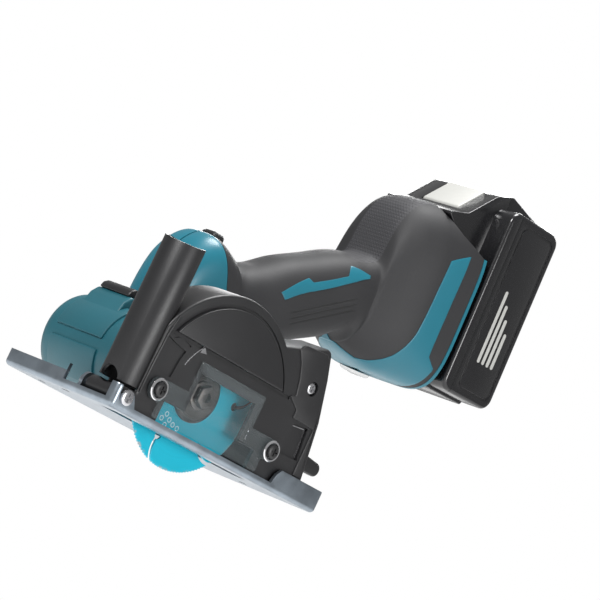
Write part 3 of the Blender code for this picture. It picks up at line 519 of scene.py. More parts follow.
class SAW_OT_base(bpy.types.Operator):
    """Pressed steel base with its rims, slot, hinge ears and rivets"""
    bl_idname = "saw.base"
    bl_label = "Base"

    def execute(self, context):
        steel = sizes().steel_thickness / MM
        x0, x1, y0, y1 = -60.0, 93.5, -15.0, 62.0
        tray = cube("base_steel", (x0, y0, 0), (x1, y1, 13), 2.4, 5)
        hollow = cube("hollow", (x0 + steel, y0 + steel, steel), (x1 - steel, y1 - steel, 20), 1.6, 4)
        rim, flange, rear = 3.9, 8.0, 11.5
        trims = [((x0 - 5, y0 - 5, rear), (x1 + 5, y1 + 5, 20)), ((x0 + steel + 1, 30, rim), (x1 + 5, y1 + 5, 20)),
                 ((x1 - steel - 1, y0 + 8, rim), (x1 + 5, 40, 20)), ((x0 - 5, 20, flange), (-40, y1 + 5, 20)),
                 ((x0 - 5, y0 + 5, rim), (-56, 20, 20))]
        near_trim = outline("near_trim", [(-57.2, 20), (-57.2, 8.2), (-56.4, 6.6), (-55.2, 6.6), (-53.4, 9.4),
                                          (-48.6, 9.4), (-46.6, 6.4), (-45.2, rim), (56, rim), (57.5, 8.6),
                                          (60, rear), (60, 20)], y0 - 5, 0)
        cut(tray, hollow, near_trim, *[cube("trim", low, high) for low, high in trims])
        slot = cube("slot", (-46, -5.2, -5), (50, 5.2, 8), 1.2)
        ear = outline("ear", [(-59, 1), (-47, 1), *arc(-53, 7, 4.6, -20, 200, 24)], 10.5, 12.5)
        fuse(tray, ear)
        cut(tray, slot, rod("pivot", 2.3, -18, 14, (-53, 7), sides=32))
        rounded(tray, 0.25, 2, 50)
        tray.data.materials.append(finish("zinc"))
        rivets = []
        for x, y in ((-50, 26), (-44, 50), (60, 48), (78, 22)):
            rivet = turned("rivet", [(0, 0), (2.2, 0), (2.6, 0.3), (2.6, steel + 0.5), (1.6, steel + 1.0),
                                     (0, steel + 1.0)], (x, y), "Z", 32)
            rivet.data.materials.append(finish("steel"))
            rivets.append(rivet)
        finished(joined(tray, *rivets), None, "zinc_steel", "base", "base_plate")
        guide = outline("depth_guide_strip", arc(-53, 7, 124, -2.7, 25, 40) + arc(-53, 7, 112, 25, -3, 40),
                        -8.9, -7.6)
        foot = cube("foot", (57.0, -8.6, steel - 1), (69.5, -1.5, steel + GAP + 1.4), 0.5)
        run = outline("run", arc(-53, 7, 120.4, 6.8, 23.2, 24) + arc(-53, 7, 115.6, 23.2, 6.8, 24), -12, -5)
        fuse(guide, foot)
        cut(guide, run, cube("under", (40, -12, -5), (90, 0, steel + GAP)))
        rounded(guide, 0.2, 2, 50)
        finished(guide, finish("zinc"), "zinc_steel", "base", "depth_guide")
        return {"FINISHED"}


# ---------------------------------------------------------------- blade case


def case_outline(inset=0.0):
    """The case from the side: a round top over the blade, a straight front and a sloping back."""
    radius, front = 49.5 - inset, -45.7 + inset
    left = 180 - degrees(acos(-front / radius))
    floor = 2.5 - (5 if inset else 0)
    points = [(front, floor)]
    if not inset:
        points = arc(-53, 7, 4.5, 270, 90, 20) + [(front, 11.5)]
    points += arc(0, 24.8, radius, left, 52, 60)
    points += [(57.5 - inset, 73 - inset * 1.2), (59.6 - inset, 72.7 - inset * 1.2), (61 - inset, 71.2 - inset * 1.2)]
    points += [(66 - inset, 60), (73 - inset, 40), (79 - inset, 9), (79 - inset, floor)]
    return points


def bolt_station():
    """Where the depth bolt runs in its guide."""
    return arc(*PIVOT, GUIDE_RADIUS, GUIDE_ANGLE, GUIDE_ANGLE, 1)[0]


def ribbon(name, points, width, y0, y1, bevel=0.0):
    """A narrow raised line along (x, z) points."""
    left, right = [], []
    for before, here, after in zip([points[0]] + points[:-1], points, points[1:] + [points[-1]]):
        dx, dz = after[0] - before[0], after[1] - before[1]
        size = hypot(dx, dz)
        left.append((here[0] - dz / size * width / 2, here[1] + dx / size * width / 2))
        right.append((here[0] + dz / size * width / 2, here[1] - dx / size * width / 2))
    return outline(name, left + right[::-1], y0, y1, bevel, 2)


class SAW_OT_blade_case(bpy.types.Operator):
    """Moulded case round the blade: raised disc, recessed panel, arrows, depth window"""
    bl_idname = "saw.blade_case"
    bl_label = "Blade case"

    def execute(self, context):
        face = CASE_FACE
        case = outline("blade_case_shell", case_outline(), face, 9.0, sizes().edge_round / MM, 5)
        half = sqrt(44 ** 2 - (44.5 - 24.8) ** 2)
        turn = degrees(atan2(44.5 - 24.8, half))
        groove = outline("groove", arc(0, 24.8, 45.2, turn - 3, 183 - turn, 90)
                         + arc(0, 24.8, 43.6, 183 - turn, turn - 3, 90), face - 2, face + 0.7)
        line = outline("line", [(-43, 42.6), (46, 42.6), (46, 44.2), (-43, 44.2)], face - 2, face + 0.7)
        panel = outline("panel", [(-42.6, 41), (-37.5, 39.6), (-28.4, 38.2), (-29.6, 34), (-30.6, 24.4),
                                  (-38, 24.4), (-43.8, 27.4)], face - 2, face + 0.9, 0.0)
        vee = ribbon("vee", [(-38.5, 41.4), (-35.6, 43.0), (-27, 41.2)], 0.7, face - 2, face + 0.5)
        cut(case, groove, line, panel, vee)
        disc = outline("disc", arc(0, 24.8, 43.4, turn, 180 - turn, 90), face - 1.5, face + 1, 0.7, 3)
        ridge = ribbon("ridge", [(-41.2, 51), (-43.4, 40.8), (-44.2, 27), (-44.4, 12)], 1.0, face - 0.7, face + 1, 0.25)
        block = outline("block", [(45.6, 44.6), (49, 46), (46.6, 53.5), (43, 60.6), (38.6, 65.6), (41.4, 69.2),
                                  (57, 70.6), (59.6, 69), (63.2, 61), (68.5, 46), (73.4, 25), (75.8, 12),
                                  (70, 12), (70, 36), (53.5, 36), (53.5, 40)], face - 0.8, face + 1, 0.5, 3)
        fuse(case, disc, ridge, block)
        hollow = outline("hollow", case_outline(2.3), face + 2.3, 7.0)
        x, z = bolt_station()
        rooms = [cube("low", (-27.5, face - 4, -5), (39, face + 4, 14)),
                 cube("high", (-13, face - 4, 5), (27, face + 4, 33), 0),
                 outline("window", [(56.2, 34), (67, 35), (69.2, 19), (56.2, 18.5)], face - 4, face + 1.6),
                 rod("spindle", 13.0, 5, 12, BLADE_CENTRE), rod("bolt", 2.3, 5, 12, (x, z), sides=32),
                 rod("screw_well", 3.6, face - 4, face + 1.6, CASE_SCREW),
                 rod("seat", 10.3, 12.7, 100, (-48, -1.5), "Z"), rod("throat", 8.4, -5, 40, (-48, -1.5), "Z"),
                 rod("pivot", 2.3, -20, 20, (-53, 7), sides=32)]
        rooms += [rod("cover_hole", 1.9, face - 4, face + 4, centre, sides=32)
                  for centre in COVER_SCREWS]
        cut(case, hollow, *rooms)
        finished(case, finish("case"), "black_nylon", "body", "blade_case")
        marks = [ribbon("rotation_arrow", arc(0, 24.8, 27.2, 163, 130, 14), 0.5, face - 0.25, face + 0.3),
                 outline("rotation_head", [(-19.8, 45.0), (-16.2, 41.8), (-20.4, 41.0)], face - 0.25, face + 0.3),
                 ribbon("depth_pointer", [(57.4, 33.0), (66.2, 34.0)], 0.45, face + 1.2, face + 1.7),
                 ribbon("depth_pointer_side", [(66.4, 33.9), (68.2, 20)], 0.4, face + 1.2, face + 1.7)]
        arrows = joined(marks[0], *marks[1:])
        finished(arrows, finish("steel"), "black_nylon", "body")
        return {"FINISHED"}


class SAW_OT_clear_cover(bpy.types.Operator):
    """Clear cover with a box dome over the clamp bolt and bright rings at its screws"""
    bl_idname = "saw.clear_cover"
    bl_label = "Clear cover"

    def execute(self, context):
        y0, y1 = -14.2, -12.3
        (ax, az), (bx, bz) = COVER_SCREWS
        points = [(-31.8, 4.7), (43.4, 4.7), (43.4, 11.5)] + arc(bx, bz, 5.4, -100, 95, 24)
        points += arc(ax, az, 5.4, 85, 280, 24) + [(-31.8, 11.5)]
        cover = outline("clear_cover_plate", points, y0, y1, 0.35, 2)
        dome = self.frustum("dome", (-17.5, 31.5, 12, 38.5), y1 - 0.4, (-16, 21, 19.5, 34), -17.6)
        inner = self.frustum("inner", (-15.9, 29.9, 13.6, 36.9), y1 + 2, (-14.4, 19.4, 21, 32.4), -16.0)
        fuse(cover, dome)
        cut(cover, inner, *[rod("hole", 1.9, y0 - 2, y1 + 2, c, sides=32) for c in ((ax, az), (bx, bz))])
        rounded(cover, 0.35, 2, 25)
        finished(cover, finish("clear"), "clear_plastic", "body", "clear_cover")
        for name, centre in (("front", (ax, az)), ("rear", (bx, bz))):
            ring = turned(f"cover_ring_{name}", [(3.7, -14.5), (4.2, -15.0), (4.9, -15.0), (5.3, -14.6), (5.3, -14.25),
                                                 (3.7, -14.25)], centre)
            finished(ring, finish("chrome"), "steel", "body")
            head = screw(f"cover_screw_{name}_head", centre, -16.4, 3.3, 1.9, 1.5, 4.8)
            finished(head, finish("case"), "black_nylon", "body", f"cover_screw_{name}")
        return {"FINISHED"}

    def frustum(self, name, wide, wide_y, narrow, narrow_y):
        block = cube(name, (0, 0, 0), (1, 1, 1))
        low = at(0, 0, 0)
        for vert in block.data.vertices:
            right, back, up = [vert.co[i] > low[i] + 0.5 * MM for i in range(3)]
            x0, x1, z0, z1 = wide if back else narrow
            vert.co = at(x1 if right else x0, wide_y if back else narrow_y, z1 if up else z0)
        return rounded(tidy_faces(block), 0.8, 3, 15)


class SAW_OT_dust_nozzle(bpy.types.Operator):
    """Dust duct with a slanted mouth and an arched opening at its foot"""
    bl_idname = "saw.dust_nozzle"
    bl_label = "Dust nozzle"

    def execute(self, context):
        tube = turned("dust_duct", [(8.4, 82.8), (8.4, 13), (10, 13), (10, 82.8)], (-48, -1.5), "Z", 96)
        mouth = cube("mouth", (-73, -27, 82.4), (-23, 24, 92))
        centre = at(-48, -1.5, 82.4)
        mouth.data.transform(Matrix.Translation(centre) @ Matrix.Rotation(radians(6), 4, "X")
                             @ Matrix.Rotation(radians(-8), 4, "Y") @ Matrix.Translation(-centre))
        arch = rod("arch", 5.0, -60, -48, (-2.5, 13), "X")
        cut(tube, mouth, arch)
        rounded(tube, 0.35, 3, 40)
        finished(tube, finish("case"), "black_nylon", "body", "dust_nozzle")
        return {"FINISHED"}


# ---------------------------------------------------------------- blade


class SAW_OT_blade(bpy.types.Operator):
    """Fine-toothed blade with keyhole slots, its flanges and clamp bolt"""
    bl_idname = "saw.blade"
    bl_label = "Blade"

    def execute(self, context):
        radius, teeth, centre = sizes().blade_radius / MM, sizes().blade_teeth, BLADE_CENTRE
        rim = []
        for tooth in range(teeth):
            start = 360 * tooth / teeth
            rim += arc(*centre, radius, start, start, 1)[:1] + arc(*centre, radius - 0.55, start + 0.7, start, 1)[:1]
        blade = outline("blade_disc", rim, -0.5, 0.5)
        slots = []
        for number in range(6):
            turn = -113 + 60 * number
            bend = [(r, turn + 9 * ((r - 27) / 11) ** 2) for r in (27, 29, 31, 33, 35, 37, 40)]
            points = [(r * cos(radians(t)), 24.8 + r * sin(radians(t))) for r, t in bend]
            slots.append(ribbon("slot", points, 1.7, -3, 3))
            slots.append(rod("slot_end", 2.1, -3, 3, points[0], sides=32))
        cut(blade, rod("bore", 5.0, -3, 3, centre), *slots)
        blade.data.materials.append(finish("blade"))
        dots = []
        for number in range(8):
            spot = arc(*centre, 18.4 + 3.4 * (number % 2), -128 + 11 * (number // 2), 0, 1)[0]
            dot = turned("dot", [(0.9, -0.56), (1.25, -0.56), (1.25, -0.5), (0.9, -0.5)], spot, steps=24)
            dot.data.materials.append(finish("print"))
            dots.append(dot)
        joined(blade, *dots)
        finished(blade, None, "blade_coating", "blade_drive", "saw_blade")
        outer = turned("outer_clamp", [(13.7, -0.8), (13.7, -2.2), (13.3, -2.6), (11.8, -3.2), (11.5, -3.8), (3, -3.8),
                                       (3, -0.8)], centre)
        finished(outer, finish("oxide"), "dark_steel", "blade_drive", "outer_flange")
        inner = turned("inner_clamp", [(5, 0.8), (13.7, 0.8), (13.7, 3.2), (11.5, 4.2), (5, 4.2)], centre)
        finished(inner, finish("oxide"), "dark_steel", "blade_drive", "inner_flange")
        bolt = turned("clamp_bolt_head", [(0, -4.1), (2.6, -4.1), (7, -4.1), (7, -4.6), (6.3, -5), (0, -5)], centre)
        head = rod("hexagon", 5.8, -8.6, -4.9, centre, sides=6)
        rounded(head, 0.4, 3)
        shank = rod("shank", 2.6, -4.4, 7, centre)
        socket = rod("socket", 2.4, -10, -6.6, centre, sides=6)
        fuse(bolt, head, shank)
        cut(bolt, socket)
        finished(bolt, finish("oxide"), "steel", "blade_drive", "clamp_bolt")
        return {"FINISHED"}


# ---------------------------------------------------------------- motor


class SAW_OT_motor_housing(bpy.types.Operator):
    """Motor barrel with raised side panels, air slots and a capped boss"""
    bl_idname = "saw.motor_housing"
    bl_label = "Motor housing"

    def execute(self, context):
        outer = sizes().barrel_radius / MM
        inner, centre = outer - 2.5, MOTOR_CENTRE
        bend = [(outer - 9 + 9 * cos(radians(t)), 95 + 9 * sin(radians(t))) for t in range(90, -1, -10)]
        barrel = turned("motor_barrel", [(0, 104)] + bend + [(outer, 30.3), (inner, 30.3), (inner, 98.5),
                                                             (9.6, 98.5), (9.6, 92.9), (7.3, 92.9), (7.3, 98.3),
                                                             (5, 98.3), (5, 100.5), (0, 100.5)], centre)
        for low, high in ((118, 174), (187, 232)):
            fuse(barrel, outline("panel", arc(*centre, outer + 1.1, low, high, 30)
                                 + arc(*centre, outer - 1.2, high, low, 30), 58, 92, 0.6, 2))
        fuse(barrel, outline("boss", [(-9, 42), (-5.5, 52.5), (-2, 56.5), (8, 56.5), (12, 50), (12, 42)], 64, 90, 1.2, 3))
        for number in range(8):
            turn = 360 * (number + 0.5) / 8
            slot = ribbon("vent", [arc(*centre, r, turn, turn, 1)[0] for r in (9.5, 17)], 2.0, 94.5, 106)
            cut(barrel, slot)
        for number in range(5):
            y = 32.5 + number * 2.0
            cut(barrel, cube("side_vent", (20, y, 20), (50, y + 1.1, 31), 0))
        cut(barrel, rod("room", inner - 0.2, 30, 92.5, centre))
        # The barrel's teal carries painted shade.
        finished(barrel, finish("barrel"), "teal_plastic", "body", "motor_housing")
        cap = outline("barrel_cap", [(-3.4, 56.4), (8, 56.4), (6.6, 60.6), (0.5, 61.2), (-2.4, 59.4)], 66, 88, 1.0, 3)
        finished(cap, finish("case"), "black_nylon", "body")
        return {"FINISHED"}


# ---------------------------------------------------------------- body shells


HEAD = [(36, 30.2, 89, 12, 17, 3.0), (38.8, 54.7, 84, 15.8, 18.5, 3.0), (42.5, 76, 59, 20.4, 19.5, 2.8),
        (50.6, 86.0, 33, 22.5, 20, 2.8)]
GRIP = [(61.5, 84.8, 16.5, 18.5, 19.5, 2.6), (71, 80.2, 20, 19.3, 19, 2.5), (89, 85.2, 30, 21.3, 18.5, 2.5),
        (108.7, 96.9, 30, 22, 19, 2.5), (128, 106.9, 30, 22.1, 19.5, 2.5), (145.5, 116.5, 12.4, 21, 20.5, 2.6)]
FOOT = [(154, 118, 2.3, 25, 20.5, 2.8), (156, 127.3, 1.6, 35.5, 21.5, 2.8), (159.3, 131.8, 1, 41.5, 24, 2.8),
        (168, 134.3, 1.5, 46.5, 29.5, 2.9), (180, 135.1, 2.5, 49, 33.5, 3.2), (208.5, 136.3, 2.5, 47.7, 37, 4.4)]
ROWS = HEAD + GRIP + FOOT


def knots():
    """How far along the body each section lies."""
    found = [0.0]
    for a, b in zip(ROWS, ROWS[1:]):
        found.append(found[-1] + hypot(b[0] - a[0], b[1] - a[1]))
    return found


KNOTS = knots()


def slope(column, i):
    """A slope at section i that never overshoots its neighbours."""
    if i in (0, len(ROWS) - 1):
        a = 0 if i == 0 else i - 1
        return (ROWS[a + 1][column] - ROWS[a][column]) / (KNOTS[a + 1] - KNOTS[a])
    before = (ROWS[i][column] - ROWS[i - 1][column]) / (KNOTS[i] - KNOTS[i - 1])
    after = (ROWS[i + 1][column] - ROWS[i][column]) / (KNOTS[i + 1] - KNOTS[i])
    if before * after <= 0:
        return (before + after) / 2 if column in (0, 1) else 0.0
    return 2 * before * after / (before + after)


SLOPES = [[slope(column, i) for column in range(6)] for i in range(len(ROWS))]


def row_at(s):
    """The section at a distance along the body, smooth between the given ones."""
    i = max(0, min(len(ROWS) - 2, sum(1 for k in KNOTS[1:-1] if k <= s)))
    size = KNOTS[i + 1] - KNOTS[i]
    t = (s - KNOTS[i]) / size
    h00, h10 = 2 * t ** 3 - 3 * t ** 2 + 1, t ** 3 - 2 * t ** 2 + t
    h01, h11 = 1 - h00, t ** 3 - t ** 2
    return [h00 * a + h01 * b + size * (h10 * p + h11 * q)
            for a, b, p, q in zip(ROWS[i], ROWS[i + 1], SLOPES[i], SLOPES[i + 1])]


def on_row(row, v):
    x, z, tilt, half_height, half_width, square = row
    turn, angle = radians(tilt), 2 * pi * v
    side = copysign(abs(cos(angle)) ** (2 / square), cos(angle)) * half_width
    rise = copysign(abs(sin(angle)) ** (2 / square), sin(angle)) * half_height
    return Vector((x - rise * sin(turn), MID_Y + side, z + rise * cos(turn)))


def skin_point(s, v, depth=0.0):
    """A station on the body: s along it, v round it from 0 to 1, sunk by `depth` square to the surface."""
    point = on_row(row_at(s), v)
    if depth:
        along = on_row(row_at(s + 0.4), v) - on_row(row_at(s - 0.4), v)
        around = on_row(row_at(s), v + 0.004) - on_row(row_at(s), v - 0.004)
        normal = around.cross(along).normalized()
        centre = row_at(s)
        if normal.dot(point - Vector((centre[0], MID_Y, centre[1]))) < 0:
            normal = -normal
        point = point - normal * depth
    return point


def skin_place(x, z):
    """(s, v) on the near side for a place seen from the side."""
    best = (1e9, 0, 0.5)
    last = KNOTS[-1]
    step_s, step_v, mid_s, mid_v = last / 120, 0.5 / 60, last / 2, 0.5
    span_s, span_v = 60, 30
    for _ in range(3):
        for i in range(-span_s, span_s + 1):
            s = min(last, max(0.0, mid_s + i * step_s))
            row = row_at(s)
            for j in range(-span_v, span_v + 1):
                v = min(0.749, max(0.251, mid_v + j * step_v))
                p = on_row(row, v)
                off = (p.x - x) ** 2 + (p.z - z) ** 2
                if off < best[0]:
                    best = (off, s, v)
        mid_s, mid_v = best[1], best[2]
        step_s, step_v, span_s, span_v = step_s / 5, step_v / 5, 7, 7
    return best[1], best[2]


def away(centre_of_face):
    """Outward from the body's own line at a face's centre."""
    x, z = centre_of_face.x / MM + ORIGIN_X, centre_of_face.z / MM
    nearest = min(ROWS, key=lambda row: hypot(row[0] - x, row[1] - z))
    return centre_of_face - at(nearest[0], MID_Y, nearest[1])


def walled(piece, thickness):
    """Gives an open skin its thickness, inwards."""
    return use(piece, "SOLIDIFY", thickness=thickness * MM, offset=-1.0, use_even_offset=False)


def pad(name, pairs, near=True, lift=0.4, thickness=1.3, along=60, across=10, edge=0.35):
    """A raised patch on the body between paired points, each (x, z) on the near side or a ready (s, v)."""
    lines = [[p if isinstance(p, tuple) else skin_place(*p) for p in line] for line in zip(*pairs)]
    steps = [0.0]
    for (a0, b0), (a1, b1) in zip(zip(*lines), list(zip(*lines))[1:]):
        steps.append(steps[-1] + hypot(a1[0] - a0[0], (a1[1] - a0[1]) * 130)
                     + hypot(b1[0] - b0[0], (b1[1] - b0[1]) * 130))

    def surface(u, v):
        where = u * steps[-1]
        i = max(0, min(len(steps) - 2, sum(1 for k in steps[1:-1] if k <= where)))
        t = (where - steps[i]) / (steps[i + 1] - steps[i])
        a, b = [[p + (q - p) * t for p, q in zip(line[i], line[i + 1])] for line in lines]
        s, turn = [p + (q - p) * v for p, q in zip(a, b)]
        return at(*skin_point(s, turn if near else 0.5 - turn, -lift))

    piece = wrapped(name, surface, along, across, away)
    walled(piece, thickness)
    return rounded(piece, edge, 2, 50) if edge else piece


S_RUBBER = KNOTS[3] + 2.2
S_REAR = KNOTS[-1] - 2.4


def rubber_front(v):
    """Where the soft cover starts round the body: further back along the underside."""
    low = max(0.0, -sin(2 * pi * v))
    return S_RUBBER + 9.0 * low ** 1.5


class SAW_OT_body_shells(bpy.types.Operator):
    """Two halves of the coloured body shell, full size at the head and the rear rim"""
    bl_idname = "saw.body_shells"
    bl_label = "Body shells"

    def execute(self, context):
        for node, first in (("housing_left", 0.25), ("housing_right", -0.25)):
            def head(u, v):
                turn = first + 0.0008 + 0.4984 * v
                return at(*skin_point((rubber_front(turn) - 0.35) * u, turn))

            def rim(u, v):
                return at(*skin_point(S_REAR + 0.35 + (KNOTS[-1] - S_REAR - 0.35) * u, first + 0.0008 + 0.4984 * v))

            shell = walled(wrapped(f"{node}_head", head, 70, 60, away), 2.4)
            cut(shell, rod("barrel_room", 25.6, 20, 130, MOTOR_CENTRE),
                button_room(),
                paddle_block("paddle_room", 0.5, 12))
            rear = walled(wrapped(f"{node}_rim", rim, 4, 60, away), 2.4)
            cut(rear, pack_room("pack_room"))
            rounded(shell, 0.3, 2, 50)
            finished(joined(shell, rear), finish("shell"), "teal_plastic", "body", node)
        return {"FINISHED"}


def paddle_block(name, grow, deep):
    """A block along the grip's underside that reaches `deep` into it."""
    block = cube(name, (86 - grow, MID_Y - 7 - grow, 56.5 - grow), (130 + grow, MID_Y + 7 + grow, 60.5 + deep))
    centre = at(86, MID_Y, 60.5)
    block.data.transform(Matrix.Translation(centre) @ Matrix.Rotation(radians(-GRIP_TURN), 4, "Y")
                         @ Matrix.Translation(-centre))
    return block


def leaned(piece):
    """Leans an upright shape forward with the battery."""
    pivot = at(215, 0, 100)
    piece.data.transform(Matrix.Translation(pivot) @ Matrix.Rotation(radians(-2.5), 4, "Y")
                         @ Matrix.Translation(-pivot))
    return piece


def pack_room(name):
    """Room in the shells for the battery's spine."""
    return leaned(outline(name, [(180, 240), (180, 182.2), (191, 175.2), (208, 168.8), (230, 168.8), (230, 240)],
                          30, 140))


def button_room():
    return cube("button_room", (43.9, MID_Y - 5.4, 92), (53.1, MID_Y + 5.4, 125))


def lens_room():
    return cube("lens_room", (179.7, MID_Y - 7.3, 70), (193.3, MID_Y + 7.3, 92))


class SAW_OT_grip_cover(bpy.types.Operator):
    """Soft rubber cover of grip and foot, coloured inlays and side strips"""
    bl_idname = "saw.grip_cover"
    bl_label = "Grip cover"

    def execute(self, context):
        def surface(u, v):
            start = rubber_front(v)
            return at(*skin_point(start + (S_REAR - start) * u, v))

        cover = wrapped("grip_skin", surface, 230, 112, away)
        walled(cover, sizes().rubber_thickness / MM)
        cut(cover, button_room(), paddle_block("paddle_room", 0.5, 12), pack_room("pack_room"),
            lens_room())
        finished(cover, finish("rubber"), "soft_rubber", "body", "grip_rubber")
        turn = radians(GRIP_TURN)
        for side, near in (("left", True), ("right", False)):
            corners = [((-26.5, -0.5), (-24.5, -4.5)), ((-6.5, 4.5), (-6, -2.3)), ((-4, 2), (-3.4, -2.4)),
                       ((21, 2.5), (21, -1.1)), ((25, 7), (26, -0.8)), ((37, 1), (36, -0.5))]
            pairs = [[skin_place(115 + a * cos(turn) - r * sin(turn), 111 + a * sin(turn) + r * cos(turn))
                      for a, r in pair] for pair in corners]
            inlay = pad(f"grip_inlay_{side}_strip", pairs, near, 0.3, 1.2, 80, 10, 0.25)
            finished(inlay, finish("shell"), "teal_plastic", "body", f"grip_inlay_{side}")
            under, rear = 0.7505, KNOTS[-1] - 3.0
            left = [(152.7, 95.1), (161.3, 90.7), (168.3, 89.5), (172.1, 91.0), (178.2, 98.9), (180.9, 107),
                    (182.2, 113.7), (182.3, 124.7), (182.4, 143.5), (183, 157.9)]
            right = [(KNOTS[9] + 6, under), (KNOTS[11], under), (KNOTS[13], under), (rear - 4, under),
                     skin_place(205, 103), skin_place(197.5, 107.4), skin_place(196.2, 114),
                     skin_place(195.3, 125), skin_place(194.7, 145), skin_place(195, 165.5)]
            pairs = [[skin_place(*a), b] for a, b in zip(left, right)]
            strip = pad(f"side_strip_{side}", pairs, near, 0.35, 1.2, 120, 16, 0.3)
            cut(strip, lens_room())
            finished(strip, finish("shell"), "teal_plastic", "body")
        return {"FINISHED"}


# ---------------------------------------------------------------- controls and lamp


class SAW_OT_controls(bpy.types.Operator):
    """Lock-off button, finger paddle, spindle lock and depth lever"""
    bl_idname = "saw.controls"
    bl_label = "Controls"

    def execute(self, context):
        button = cube("lock_off_cap", (44.3, MID_Y - 5, 96.5), (52.7, MID_Y + 5, 108), 1.4, 4)
        ribs = [cube("rib", (45.4 + n * 1.9, MID_Y - 3.6, 107.6), (46.4 + n * 1.9, MID_Y + 3.6, 108.4), 0.2, 2)
                for n in range(4)]
        fuse(button, *ribs)
        finished(button, finish("case"), "black_nylon", "lock_off", "lock_off_button")
        paddle = paddle_block("finger_paddle", 0, 6.5)
        rounded(paddle, 2.2, 5)
        finished(paddle, finish("case"), "black_nylon", "paddle", "switch_paddle")
        lock = turned("spindle_lock_cap", [(0, 46), (4, 46), (4, 55.6), (3.8, 56.2), (3.2, 56.5), (2.6, 56.1),
                                           (0, 55.9)], (6, 19.5), "Z", 64)
        finished(lock, finish("case"), "black_nylon", "spindle_lock", "spindle_lock_button")
        x, z = bolt_station()
        arm = outline("depth_lever_arm", arc(x, z, 6.5, 110, 250, 24) + arc(x + 44, z - 2, 3.6, -80, 80, 16),
                      9.6, 14.6, 1.0, 4)
        cut(arm, rod("bore", 2.2, 5, 20, (x, z), sides=48))
        finished(arm, finish("case"), "black_nylon", "lever", "depth_lever")
        return {"FINISHED"}


class SAW_OT_lamp(bpy.types.Operator):
    """Work lamp's lens under the foot"""
    bl_idname = "saw.lamp"
    bl_label = "Lamp"

    def execute(self, context):
        lens = cube("lamp_window", (180, MID_Y - 7, 84), (193, MID_Y + 7, 91.5), 2.2, 5)
        finished(lens, finish("clear"), "clear_plastic", "body", "lamp_lens")
        return {"FINISHED"}


class SAW_OT_screws(bpy.types.Operator):
    """Pivot, case and housing screws"""
    bl_idname = "saw.screws"
    bl_label = "Screws"

    def execute(self, context):
        jobs = [("case_screw", CASE_SCREW, -12.2, 2.9, 1.5, 1.0, 0.2, False),
                ("pivot_screw_near", PIVOT, -16.8, 3.6, 1.5, 1.8, 10, False),
                ("pivot_screw_far", PIVOT, 14.3, 3.6, 1.5, 1.8, 10, True)]
        jobs += [(f"housing_screw_{n}", (x, z), y - 0.1, 2.6, 1.2, 1.2, 5, True)
                 for n, (x, y, z) in enumerate(((46, 104.2, 68), (118.5, 102.8, 102), (172, 113.6, 140)), 1)]
        for node, *how in jobs:
            finished(screw(node + "_fine", *how), finish("steel"), "steel", "body", node)
        return {"FINISHED"}


# ---------------------------------------------------------------- battery


def rounded_box(x0, x1, z0, z1, radius, steps=10):
    corners = ((x1 - radius, z1 - radius, 0), (x0 + radius, z1 - radius, 90), (x0 + radius, z0 + radius, 180),
               (x1 - radius, z0 + radius, 270))
    return [p for x, z, first in corners for p in arc(x, z, radius, first, first + 90, steps)]


class SAW_OT_battery(bpy.types.Operator):
    """Battery cover, tray and release button"""
    bl_idname = "saw.battery"
    bl_label = "Battery"

    def execute(self, context):
        for name, node, low, high in (("battery_front", "battery_cover", 150, 221.85),
                                      ("battery_back", "battery_tray", 222.15, 300)):
            slab = outline(name, rounded_box(214.5, 259, 96.4, 200.8, 7), 48, 122, 2.2, 5)
            for groove, face in (((47, 48.5), (48.05, 48.8)), ((121.5, 123), (121.2, 121.95))):
                cut(slab, outline("label_rim", rounded_box(225.5, 255, 100.5, 196.5, 5), *groove, 0.3, 2))
                fuse(slab, outline("label_face", rounded_box(226.9, 253.6, 101.9, 195.1, 4), *face, 0.25, 2))
            fuse(slab, outline("spine", SPINE, 61, 109, 1.0, 4))
            if low < 200:
                cut(slab, outline("well", [(195.6, 215), (195.6, 181), (201, 181), (212.4, 192.5), (212.4, 215)],
                                  71.1, 98.9))
                cut(slab, outline("scoop", [(205, 230), (205, 204), (214, 210), (222, 215), (222, 230)], 40, 62))
            span = cube("span", (low, 30, 60), (high, 140, 240))
            use(slab, "BOOLEAN", operation="INTERSECT", object=span, solver="EXACT")
            bpy.data.objects.remove(span, do_unlink=True)
            rounded(slab, 0.25, 2, 60)
            finished(leaned(slab), finish("battery"), "battery_black", "battery", node)
        button = outline("release_button", [(196.2, 190.9), (196.2, 186), (198.6, 186), (211.8, 198.8), (211.8, 205.9)],
                         71.6, 98.4, 1.0, 4)
        finished(leaned(button), finish("button"), "button_grey", "release", "battery_button")
        for side, (y0, y1) in (("near", (48.0, 48.45)), ("far", (121.55, 122.0))):
            bars = [outline("charge_bar", rounded_box(233 + 4.2 * n, 235.4 + 4.2 * n, 118, 160 - 7 * n, 1.1, 5), y0, y1)
                    for n in range(4)]
            finished(leaned(joined(bars[0], *bars[1:])), finish("button"), "battery_black", "battery")
            bars[0].name = f"label_bars_{side}"
        return {"FINISHED"}


# ---------------------------------------------------------------- inner parts


class SAW_OT_inner_parts(bpy.types.Operator):
    """Finishes for the pieces inside the saw"""
    bl_idname = "saw.inner_parts"
    bl_label = "Inner parts"

    def execute(self, context):
        dress = {
            "alloy": ["gear_housing"],
            "steel": ["depth_bolt", "spindle_front_bearing", "spindle_rear_bearing", "motor_front_bearing",
                      "motor_rear_bearing", "spindle", "driven_gear", "motor_shaft", "pinion"],
            "oxide": ["rotor_core"],
            "winding": ["stator"],
            "case": ["fan", "switch_unit", "terminal_block"],
            "board": ["controller"],
            "cell": ["cell_pack"],
        }
        for look, nodes in dress.items():
            for node in nodes:
                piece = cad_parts[node]
                for place in piece.material_slots:
                    place.material = finish(look)
        return {"FINISHED"}


# ---------------------------------------------------------------- stage


